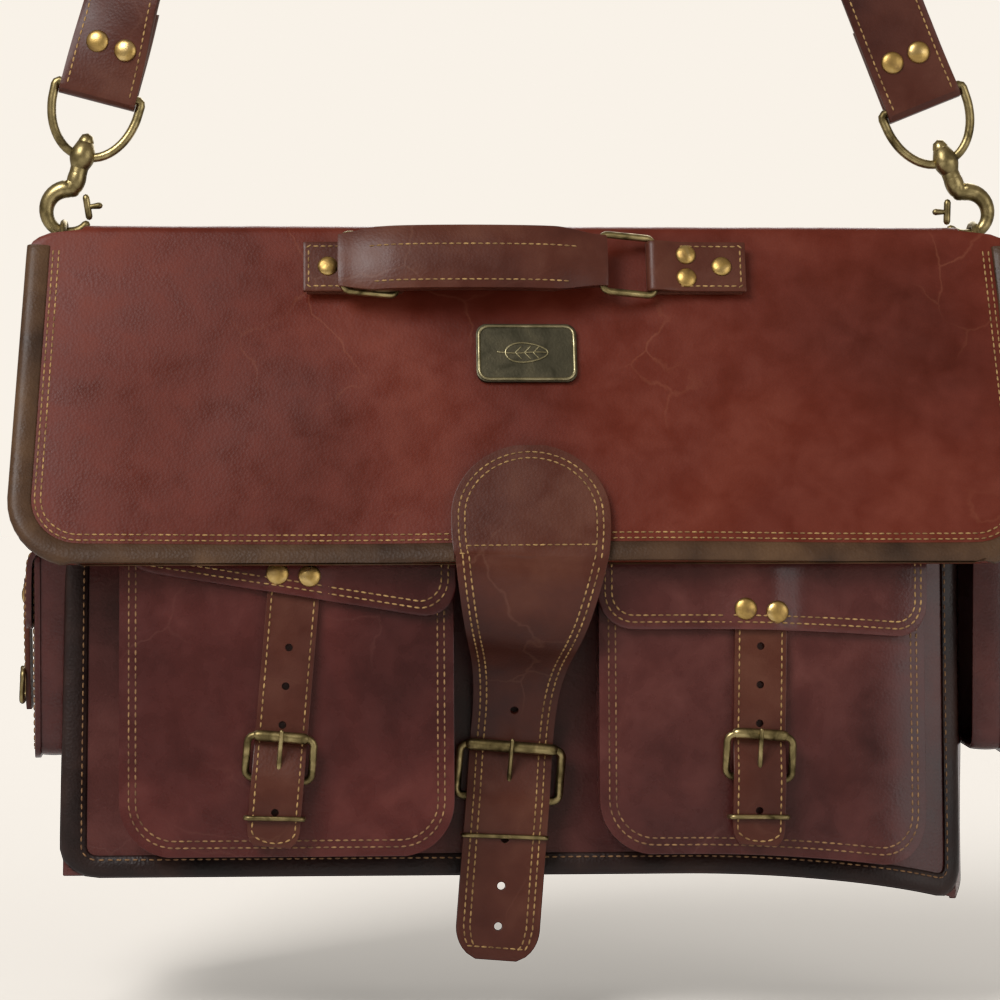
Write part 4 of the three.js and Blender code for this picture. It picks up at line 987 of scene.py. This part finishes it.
def badge_face(x, z, lift=0.0):
    return flap_face(x, BADGE_DROP - z, 0.3 + lift)


def badge_half(z):
    below = abs(z) - (14 - 5)
    return 22.5 if below <= 0 else 22.5 - 5 + math.sqrt(max(25 - below * below, 0))


plate_piece = leather_sheet(
    "badge_cast", steps(-1, 1, 30), [14 * math.sin(math.radians(a)) for a in range(-88, 89, 8)],
    lambda u, z: badge_face(u * badge_half(z), z, 1.9), 1.9, bronze, 0.4, 30)
rim_points = [badge_face(x, z, 2.0) for x, z in rounded_loop(-21.3, 21.3, -12.8, 12.8, 4.4)]
badge_rim = rod("badge_rim", rim_points, 0.75, worn_bronze, closed=True, around=10)
leaf = []
for t in [math.radians(a) for a in range(0, 360, 12)]:
    leaf.append((9.5 * math.cos(t), 4.6 * math.sin(t) * (1 - 0.25 * math.cos(t))))
leaf_edge = rod("badge_leaf_edge", [badge_face(x, z, 2.0) for x, z in leaf], 0.45, worn_bronze, closed=True, around=8)
leaf_vein = rod("badge_leaf_vein", [badge_face(x, 0.3 * math.sin(x / 3), 2.0) for x in steps(-13, 8.5, 16)], 0.4,
                worn_bronze, around=8)
ribs = []
for n, x in enumerate((-5, -1, 3)):
    for side in (-1, 1):
        ribs.append(rod("badge_leaf_rib_%d%s" % (n, "ab"[side > 0]),
                        [badge_face(x + 2.6 * t, side * 3.0 * t, 2.0) for t in steps(0, 1, 4)], 0.3, worn_bronze, around=8))
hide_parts("badge_plate")
for piece in [plate_piece, badge_rim, leaf_edge, leaf_vein] + ribs:
    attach(piece, "flap")

# ---------------------------------------------------------------------------------------------
# Handle: a padded grip whose ends are folded round two wire rings. The rings turn in leather tabs
# that are riveted to the flap, and the handle lies folded over to the left.
# ---------------------------------------------------------------------------------------------
HANDLE_DROP, SPAN, REACH = 23, 116, 24.5
REST = math.radians(14)
RING_OUT = 0.3 + 1.5 + 0.3 + 1.7
handle_y = -0.3


def plain_flap(x, out, d):
    """A place on the flat plane of the flap, without the waves in its leather."""
    cosine, sine = math.cos(flap_lean), math.sin(flap_lean)
    return bag(x, CROWN.x - out * cosine - d * sine, CROWN.y - d * cosine + out * sine)


flap_low_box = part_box("badge_plate")
badge_middle = (flap_low_box[0] + flap_low_box[1]) / 2 - bag(0, CROWN.x, CROWN.y)
flap_lean = math.atan2(-badge_middle.y, -badge_middle.z) - math.asin(1.3 * MM / badge_middle.length)
for prefix, side in (("left", -1), ("right", 1)):
    hub = side * SPAN / 2
    spin = [(hub - r * math.cos(REST), 3.8 + r * math.sin(REST), HANDLE_DROP + v)
            for r, v in rounded_loop(0, REACH, -13.8, 13.8, 3.2)]
    ring = rod("handle_ring_" + prefix + "_wire", [plain_flap(*place) for place in spin], 1.6, antique, closed=True)
    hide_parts("handle_ring_" + prefix)
    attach(ring, "handle_ring_" + prefix)

    def on_tab(a, out, s, side=side, hub=hub):
        return plain_flap(hub + side * s, out, HANDLE_DROP + a)

    r = 3.6
    fold = [(3.8 - r * math.cos(math.radians(t)), -r * math.sin(math.radians(t))) for t in range(0, 181, 20)]
    tab_line = [(0.6, 40)] + [(o, s) for o, s in fold] + [(7.0, 5), (5.6, 10), (5.2, 16), (5.1, 28), (5.0, 41.5)]
    path = Line([(a, b, 0) for a, b in tab_line])

    def tab_face(a, s, lift=0.0, path=path, side=side, on_tab=on_tab):
        here, way = path(s), path.way(s)
        return on_tab(a, here.x + way.y * lift, here.y - way.x * lift)

    across = steps(-1, 1, 12) if side > 0 else steps(-1, 1, 12)[::-1]
    tab = leather_sheet("handle_tab_%s_leather" % prefix, across, steps(0, path.length, 70),
                        lambda u, s: tab_face(u * 12, s), 2.0, strap_hide, 0.5)
    end = path.length
    rows = [[(-9.6, end - 30), (-9.6, end - 2.4), (9.6, end - 2.4), (9.6, end - 30)]]
    threads = seam("handle_tab_%s_stitches" % prefix, tab_face, rows)
    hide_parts("handle_tab_" + prefix)
    for piece in (tab, threads):
        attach(piece, "flap")
    spots = [(0, end - 11)] if side < 0 else [(-5.6, end - 27), (5.6, end - 27), (0, end - 11)]
    for n, (a, b) in enumerate(spots):
        rivet("handle_rivet_%s_%d" % (prefix, n), tab_face, a, b, "flap", 4.6)

grip_x = -SPAN / 2 - REACH * math.cos(REST)
grip_out = 3.8 + REACH * math.sin(REST)


def on_grip(a, out, s):
    return plain_flap(grip_x + s, grip_out + out, HANDLE_DROP + a)


def grip_half(s):
    near = min(s + 4, SPAN + 4 - s)
    swell = min(max(near / 22, 0), 1)
    return 12.2 + 2.9 * swell * swell * (3 - 2 * swell)


grip_rise = [(3.2, -2.4), (3.7, 0), (4.0, 4), (6.2, 14), (8.2, 26), (9.0, 58), (8.2, 90), (6.2, 102), (4.0, 112),
             (3.7, 116), (3.2, 118.4)]
grip_path = Line([(a, b, 0) for a, b in grip_rise])


def grip_face(a, s, lift=0.0):
    here, way = grip_path(s), grip_path.way(s)
    crown = 1.7 * (1 - min(abs(a) / 15, 1) ** 2.4)
    out = lift + crown - 1.2
    return on_grip(a, here.x + way.y * out, here.y - way.x * out)


grip_piece = leather_sheet(
    "handle_grip_leather", [math.sin(math.radians(a)) for a in range(-90, 91, 10)], steps(0, grip_path.length, 70),
    lambda u, s: grip_face(u * grip_half(s), s), 6.4, strap_hide, 1.6)
grip_rows = [[(-5.2, s) for s in steps(14, grip_path.length - 14, 30)], [(11.6, s) for s in steps(16, 104, 30)]]
grip_seams = seam("handle_grip_stitches", grip_face, grip_rows)
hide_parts("handle_grip")
for piece in (grip_piece, grip_seams):
    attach(piece, "handle_grip")


# ---------------------------------------------------------------------------------------------
# Edges of the body: the front panel, the gussets and the back are sewn together edge to edge, and
# a near-black strip is folded over each seam and stitched through.
# ---------------------------------------------------------------------------------------------
dark_edge = leather("black_edge_leather", "#120b0a", "#241512", "#38241d", rough=0.45, patch_mm=40, pull=0.6)


def body_rim(half, foot, top, radius, inset=0.0):
    """Down the left side, round the foot and up the right side, as (x, -z)."""
    return [(x, -(z + foot)) for x, z in u_shape(half, top - foot, radius, inset)]


def front_skin(x, d, lift=0.0):
    return front_face(x, -d, lift)


edge_lap = [(9.0, 0.25), (8.2, 1.3), (2.0, 1.6), (0.2, 1.1), (-0.9, -0.2), (-0.9, -2.4), (0.2, -3.4), (3.0, -3.9)]
front_edge = folded_edge("front_bound_edge", front_skin, body_rim(HALF, FRONT_FOOT_Z, 252, FRONT_CORNER), edge_lap,
                         dark_edge)
front_seams = seam("front_edge_stitches", front_skin,
                   [body_rim(HALF, FRONT_FOOT_Z, 250, FRONT_CORNER, 7.0)], dull_thread, 3.6, 1.5)
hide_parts("front_binding")
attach(front_edge, "bag")
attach(front_seams, "bag")

# ---------------------------------------------------------------------------------------------
# Gussets, back, base and divider: the same wine leather all round, a stiff base, and a suede sheet
# that divides the inside in two. The gussets have folded inwards a little under the flap.
# ---------------------------------------------------------------------------------------------
for prefix, side in (("left", -1), ("right", 1)):

    def gusset_face(t, z, lift=0.0, side=side):
        near = front(side * HALF, -3.6, z)
        far = bag(side * HALF, 42.6, z)
        fold = 5 * math.sin(math.pi * t) ** 2 * math.exp(-((z - 188) / 26) ** 2)
        wave = 0.6 * noise.noise(Vector((t * 3, z / 50, side)))
        near.x = near.x + (far.x - near.x) * min(3 * t, 1)
        return near.lerp(far, t) + Vector((side * (lift + wave - 0.5 - fold), 0, 0)) * MM

    shares = steps(0, 1, 22) if side > 0 else steps(0, 1, 22)[::-1]
    wall = leather_sheet(prefix + "_gusset_leather", shares, steps(4.6, 255, 44), gusset_face, 3.0, wine)
    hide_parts(prefix + "_gusset")
    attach(wall, "bag")


def back_face(x, z, lift=0.0):
    wave = 1.1 * noise.noise(Vector((x / 75, z / 65, 9.0)))
    return bag(x, 46 + lift + wave * 0.6 - 0.7, z)


back_rows = [4.4 + 12 * (1 - math.cos(math.radians(a))) for a in range(6, 91, 12)]
back_piece = leather_sheet(
    "back_panel_leather", steps(-1, 1, 50)[::-1], back_rows + steps(20, 260, 30),
    lambda u, z: back_face(u * (HALF if z > 16.4 else HALF - 12 + math.sqrt(max(144 - (16.4 - z) ** 2, 0))), z),
    3.0, wine)


def back_skin(x, d, lift=0.0):
    return back_face(-x, -d, lift)


back_edge = folded_edge("back_bound_edge", back_skin, body_rim(HALF, 4.4, 203, 12), edge_lap, dark_edge)
back_seams = seam("back_edge_stitches", back_skin, [body_rim(HALF, 4.4, 202, 12, 7.0)], dull_thread, 3.6, 1.5)


def base_face(x, t, lift=0.0):
    """From the back edge, where t is 0, to the front edge."""
    place = bag(x, 43, 2.8).lerp(front(x, -3.0, 4.6), t)
    dip = 1.2 * math.sin(math.pi * t) * math.cos(x / 204 * math.pi / 2)
    return place + Vector((0, 0, dip - lift)) * MM


base_piece = leather_sheet("base_leather", steps(-202, 202, 40), steps(0, 1, 12), base_face, 3.6, wine)
suede = leather("tan_suede_lining", "#5a4532", "#78614a", "#8d765c", rough=0.85, patch_mm=50, pull=0.3)
divider_piece = leather_sheet(
    "divider_suede", steps(-198, 198, 40), steps(5, 220, 24),
    lambda x, z: bag(x, 22 + 2.0 * noise.noise(Vector((x / 90, z / 80, 3.0))), z), 2.2, suede)
for piece, node, finish in ((back_piece, "back_panel", "body_leather"), (base_piece, "base_panel", "body_leather"),
                            (divider_piece, "divider", "lining")):
    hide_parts(node)
    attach(piece, "bag")
for piece in (back_edge, back_seams):
    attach(piece, "bag")
skirt_seams = seam("flap_sewing_stitches", lambda x, z, lift=0.0: flap_face(-x, -crown_at + z, lift),
                   [[(-196, 4), (196, 4)], [(-196, 7.4), (196, 7.4)]])
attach(skirt_seams, "bag")

# ---------------------------------------------------------------------------------------------
# Side pockets: small pockets on the gussets, each closed by a flap and a strap with a little buckle.
# ---------------------------------------------------------------------------------------------
side_mouth = [(0.6, 96.6), (8, 97.2), (14.2, 96.2), (18.2, 92.6), (20.0, 87), (20.2, 62), (20.0, 40)]
for prefix, side in (("left", -1), ("right", 1)):

    def on_side(x, out, z, side=side):
        return bag(side * (HALF + out), -2 + side * x, 55 + z)

    make_pocket(prefix + "_side", on_side, 32, 92, 16.6, 9, 0.8, wine, [prefix + "_side_pocket"], dull_thread)
    cover = make_flap(prefix + "_side_pocket", prefix + "_side_flap", on_side, 32.8, side_mouth, 53, 8, wine,
                      [prefix + "_side_pocket_flap"], gold_thread, 0.0, 0.4)
    drop_line = [(22.6, 80), (22.7, 62), (22.5, 52), (22.3, 36), (22.0, 19.6)]
    tail_face, tail_path = strap_line_face(on_side, drop_line)
    reach = tail_path.length

    def tail_half(s, reach=reach):
        near = max(s - (reach - 7), 0) / 7
        return 8 - 4 * (1 - math.sqrt(max(1 - near * near, 0)))

    tail = make_strap(prefix + "_side_strap_leather", tail_face, tail_half, reach, 2.2, strap_hide,
                      [(0, reach - 12), (0, reach - 40)], 1.3, rows=30)
    side_rows = [[(-6.2, s) for s in steps(2, reach - 6, 16)], [(6.2, s) for s in steps(2, reach - 6, 16)]]
    tail_seams = seam(prefix + "_side_strap_stitches", tail_face, side_rows, gold_thread, 3.2)
    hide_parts(prefix + "_side_strap")
    loop = [on_side(x, 23.6 - 0.04 * (z - 30), z) for x, z in rounded_loop(-10, 10, 24, 38, 2.6)]
    small = rod(prefix + "_side_buckle", loop, 1.2, antique, closed=True, around=10)
    pin = rod(prefix + "_side_buckle_pin", [on_side(0, 24.2, z) for z in steps(23.4, 38.6, 6)], 0.9, antique, around=8)
    for piece in (tail, tail_seams, small, pin):
        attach(piece, prefix + "_side_flap")
    rivet(prefix + "_side_rivet", tail_face, 0, 8, prefix + "_side_flap", 4.0)

# ---------------------------------------------------------------------------------------------
# D-rings: a bent brass ring at the top of each gusset, held by a riveted loop of saddle leather.
# ---------------------------------------------------------------------------------------------
for prefix, side in (("left", -1), ("right", 1)):

    def at_ring(x, out, z, side=side):
        return bag(side * (HALF + out), -7 + side * x, 278 + z)

    bow = [(12.5 * math.cos(math.radians(a)), 6 + 12.5 * math.sin(math.radians(a))) for a in range(0, 181, 10)]
    loop = bow + [(-12.5, 3), (-12.3, 0.9), (-11.4, 0)] + [(x, 0) for x in steps(-9, 9, 8)] + [
        (11.4, 0), (12.3, 0.9), (12.5, 3)]
    ring = rod(prefix + "_d_ring_wire", [at_ring(x, 3.9, z) for x, z in loop], 1.65, antique, closed=True)
    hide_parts(prefix + "_d_ring")
    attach(ring, prefix + "_d_ring")
    wrap = [(3.9 - 3.5 * math.cos(math.radians(a)), 3.5 * math.sin(math.radians(a))) for a in range(0, 181, 20)]
    tab_face, tab_path = strap_line_face(
        at_ring, [(0.4, -50)] + wrap + [(6.4, -7), (5.0, -14), (4.6, -30), (4.5, -51)])
    tab = leather_sheet(prefix + "_d_ring_tab_leather", steps(-1, 1, 12)[::-1], steps(0, tab_path.length, 70),
                        lambda u, s: tab_face(u * 10.2, s), 1.8, strap_hide, 0.4)
    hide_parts(prefix + "_d_ring_tab")
    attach(tab, "bag")
    for n, up in enumerate((8, 34)):
        rivet("%s_d_ring_rivet_%d" % (prefix, n), tab_face, 0, tab_path.length - up, "bag", 4.2)


# ---------------------------------------------------------------------------------------------
# Shoulder strap: two lengths of saddle leather joined by a plain buckle. Each is folded round the
# bar of its hook and riveted. The strap lies flat to the front below and turns edge on at the peg.
# ---------------------------------------------------------------------------------------------
LEAN_LEFT, LEAN_RIGHT = math.radians(14.5), math.radians(22)
PEG, TURN, RING_X = 22, 23.5, HALF + 3.9
LOOP_BAR, HEEL_AT, BUCKLE_HEIGHT, REJOIN = 64, 235, 26, 78
peg_drop = (2 * RING_X - TURN / math.cos(LEAN_LEFT) - TURN / math.cos(LEAN_RIGHT)) / (
    math.tan(LEAN_LEFT) + math.tan(LEAN_RIGHT))
run_left = (peg_drop + TURN * math.sin(LEAN_LEFT)) / math.cos(LEAN_LEFT)
run_right = (peg_drop + TURN * math.sin(LEAN_RIGHT)) / math.cos(LEAN_RIGHT)
foot_left = Vector((-TURN * math.cos(LEAN_LEFT) - run_left * math.sin(LEAN_LEFT), 0, -PEG - peg_drop))
foot_right = foot_left + Vector((2 * RING_X, 0, 0))
over_peg = TURN * (math.pi - LEAN_LEFT - LEAN_RIGHT)
strap_total = run_left + over_peg + run_right


def ease(value, low, high):
    share = min(max((value - low) / (high - low), 0), 1)
    return share * share * (3 - 2 * share)


def strap_twist(s):
    low = math.radians(20)
    up = low * ease(s, LOOP_BAR, HEEL_AT - 126) + (math.pi / 2 - low) * ease(s, HEEL_AT + 46, run_left)
    return up - math.pi / 2 * ease(s, run_left + over_peg, strap_total - LOOP_BAR)


def strap_place(a, b, s):
    """a across the strap, b towards its back and s along it from the left ring, in millimetres."""
    left_over = strap_total - s
    if s <= run_left:
        way = Vector((math.sin(LEAN_LEFT), 0, math.cos(LEAN_LEFT)))
        middle = foot_left + way * s
    elif left_over <= run_right:
        way = Vector((math.sin(LEAN_RIGHT), 0, -math.cos(LEAN_RIGHT)))
        middle = foot_right - way * left_over
    else:
        angle = LEAN_LEFT + (s - run_left) / TURN
        way = Vector((math.sin(angle), 0, math.cos(angle)))
        middle = Vector((-TURN * math.cos(angle), 0, -PEG + TURN * math.sin(angle)))
    twist = strap_twist(s)
    across = Vector((way.z, 0, -way.x)) * math.cos(twist) + Vector((0, -math.sin(twist), 0))
    back = way.cross(across)
    return (middle + across * a + back * b) * MM


def band_face(line):
    """The surface of a strap whose outer face follows line, a list of (b, s)."""
    path = Line([(b, s, 0) for b, s in line])

    def face(a, q, lift=0.0):
        here, way = path(q), path.way(q)
        return strap_place(a, here.x - way.y * lift, here.y + way.x * lift)

    return face, path


def fold_at(bar, back_end, sign):
    """Down the back, round the bar of a hook and up the front; sign is -1 where s runs down to it."""
    bend = [(5.3 * math.cos(math.radians(t)), bar - sign * 5.3 * math.sin(math.radians(t))) for t in range(0, 151, 15)]
    return [(4.6, back_end), (4.9, bar + sign * 14)] + bend + [(-2.8, bar + sign * 8), (-1.6, bar + sign * 18)]


def long_proud(s):
    above = s - HEEL_AT
    to_bar = ease(above, 3, BUCKLE_HEIGHT - 6)
    return 11.1 + (5.8 - 11.1) * to_bar - 5.8 * ease(above, BUCKLE_HEIGHT + 6, REJOIN)


short_line = fold_at(LOOP_BAR, LOOP_BAR + 40, 1) + [(-1.5, s) for s in steps(100, 215, 12)] + [
    (-2.6, 226), (-4.0, 234), (-4.9, 236.6), (-6.8, 236.4), (-7.6, 234), (-6.6, 226), (-5.2, 217), (-4.7, 209)]
short_face, short_path = band_face(short_line)
short_piece = leather_sheet(
    "strap_short_leather", steps(-17.5, 17.5, 12), steps(0, short_path.length, 150), short_face, 3.0, strap_hide, 0.6)
long_line = [(-1.5 - long_proud(s), s) for s in steps(130, 300, 34) + steps(305, strap_total - 100, 90)]
long_line += [(b, s) for b, s in reversed(fold_at(strap_total - LOOP_BAR, strap_total - LOOP_BAR - 40, -1))]
long_face, long_path = band_face(long_line)


def long_half(q):
    near = max(16 - q, 0) / 16
    return 17.5 - 9 * (1 - math.sqrt(max(1 - near * near, 0)))


long_stops = [16 - 16 * math.cos(math.radians(a)) for a in range(6, 89, 8)] + steps(16, long_path.length, 300)
long_piece = leather_sheet(
    "strap_long_leather", steps(-1, 1, 12), long_stops, lambda u, q: long_face(u * long_half(q), q), 3.0,
    strap_hide, 0.6)
pegs = hole_cutter(long_face, [(0, q) for q in (22, 47, 72, 97, 140, 165)], 2.0)
only(long_piece)
cutting = long_piece.modifiers.new("holes", "BOOLEAN")
cutting.object = pegs
bpy.ops.object.modifier_apply(modifier="holes")
bpy.data.objects.remove(pegs, do_unlink=True)
bpy.ops.object.shade_smooth_by_angle(angle=math.radians(40))
short_seams = seam("strap_short_stitches", short_face,
                   [[(x, q) for q in steps(56, short_path.length - 32, 40)] for x in (-14.4, 14.4)])
long_rows = [[(x, q) for q in steps(18, long_path.length - 56, 200)] for x in (-14.4, 14.4)]
long_seams = seam("strap_long_stitches", long_face, long_rows)
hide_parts("strap_short")
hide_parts("strap_long")
for piece in (short_piece, long_piece, short_seams, long_seams):
    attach(piece, "shoulder_strap")
for n, (x, q) in enumerate(((-6, 78), (7.5, 77))):
    rivet("strap_short_rivet_%d" % n, short_face, x, q, "shoulder_strap", 5.2)
for n, (x, q) in enumerate(((-6.5, 77), (6.5, 77))):
    rivet("strap_long_rivet_%d" % n, long_face, x, long_path.length - q, "shoulder_strap", 5.2)


def at_heel_bar(x, out, z):
    base = strap_place(0, -1.5, HEEL_AT)
    across = strap_place(1, -1.5, HEEL_AT) - base
    outward = strap_place(0, -2.5, HEEL_AT) - base
    upward = strap_place(0, -1.5, HEEL_AT + 1) - base
    return base + across * x + outward * out + upward * z


frame_ring = rod("strap_buckle_cast", [at_heel_bar(x, 4.3 + 0.19 * z, z) for x, z in rounded_loop(-21, 21, 0, 26, 3.6)],
                 1.65, antique, closed=True)
eye = [at_heel_bar(0, 4.3 - 2.6 * math.cos(math.radians(t)), -2.6 * math.sin(math.radians(t))) for t in range(0, 181, 20)]
strap_pin = rod("strap_buckle_pin", eye + [at_heel_bar(0, 7.1 + 4.6 * t, 26 * t) for t in (0.2, 0.5, 0.8, 1.1)],
                1.3, antique, shrink=lambda t: 1.15 - 0.35 * t)
keep = [strap_place(x, b, HEEL_AT - 52.5) for x, b in rounded_loop(-19, 19, -14.2, 4.2, 2.0, 4)]
strap_keep = rod("strap_keeper_wire", keep, 1.05, antique, closed=True, around=10)
for piece, node, body in ((frame_ring, "strap_buckle_frame", "shoulder_strap"),
                          (strap_pin, "strap_buckle_prong", "strap_buckle_prong"),
                          (strap_keep, "strap_keeper", "shoulder_strap")):
    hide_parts(node)
    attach(piece, body)

# ---------------------------------------------------------------------------------------------
# Snap hooks: cast brass hooks that swivel in the collar of a D-shaped loop. A sprung gate with a
# thumb knob closes each hook on its ring.
# ---------------------------------------------------------------------------------------------
for prefix, foot, lean, side in (("left", foot_left, LEAN_LEFT, 1), ("right", foot_right, -LEAN_RIGHT, -1)):

    def at_hook(x, y, z, foot=foot, lean=lean):
        turned = Vector((x * math.cos(lean) + z * math.sin(lean), y, -x * math.sin(lean) + z * math.cos(lean)))
        return (foot + turned) * MM

    def round_eye(degrees, radius=10.0, side=side, at_hook=at_hook):
        t = math.radians(degrees)
        return at_hook(side * radius * math.cos(t), 0, 7.9 + radius * math.sin(t))

    bend = [at_hook(0, 0, z) for z in (28, 25, 22)] + [round_eye(a, 10) for a in range(96, 346, 10)]
    hook_piece = rod(prefix + "_hook_cast", bend, 2.5, antique,
                     shrink=lambda t: 1.65 - 0.55 * ease(t, 0.1, 0.75) - 0.3 * ease(t, 0.8, 1))
    shank = rod(prefix + "_hook_shank", [at_hook(0, 0, z) for z in steps(17, 29.6, 12)], 4.4, antique,
                shrink=lambda t: 0.62 + 0.38 * math.sin(math.pi * min(t * 1.1, 1)) ** 0.6)
    head = rod(prefix + "_hook_head", [at_hook(0, 0, z) for z in steps(38.6, 40.6, 3)], 3.6, antique)
    neck = rod(prefix + "_hook_neck", [at_hook(0, 0, z) for z in steps(28, 39, 8)], 2.0, antique)
    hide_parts(prefix + "_hook")
    for piece in (hook_piece, shank, head, neck):
        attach(piece, prefix + "_hook")
    hinge, nose = round_eye(52), round_eye(-15) + (at_hook(0, 0, 2.4) - at_hook(0, 0, 0))
    gate = rod(prefix + "_gate_lever", [hinge.lerp(nose, t) for t in steps(0, 1, 8)], 1.6, antique)
    grip_foot = hinge.lerp(nose, 0.5)
    knob = rod(prefix + "_gate_knob", [grip_foot + (at_hook(side * x, 0, 0.4 * x) - at_hook(0, 0, 0)) for x in steps(0, 5, 6)],
               1.2, antique, shrink=lambda t: 0.8 + 0.5 * t)
    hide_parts(prefix + "_hook_gate")
    for piece in (gate, knob):
        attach(piece, prefix + "_hook_gate")
    collar = rod(prefix + "_loop_collar", [at_hook(0, 0, z) for z in steps(30.6, 36.4, 8)], 5.8, antique, around=24,
                 shrink=lambda t: 0.9 + 0.1 * math.sin(math.pi * t))
    arms = [(3.6, 33.6), (8, 35), (13, 39), (17.2, 45.5), (19.4, 53), (19.9, 59), (19.9, 62)]
    smooth = Line([(x, z, 0) for x, z in arms])
    right_arm = [(smooth(d).x, smooth(d).y) for d in steps(0, smooth.length, 16)]
    corner = [(19.6, 63.2), (18.6, 64)]
    run = right_arm + corner + [(x, 64) for x in steps(15, -15, 8)]
    run += [(-x, z) for x, z in reversed(right_arm + corner)]
    arm_piece = rod(prefix + "_loop_wire", [at_hook(x, 0, z) for x, z in run], 2.05, antique)
    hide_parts(prefix + "_hook_loop")
    for piece in (collar, arm_piece):
        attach(piece, "shoulder_strap")
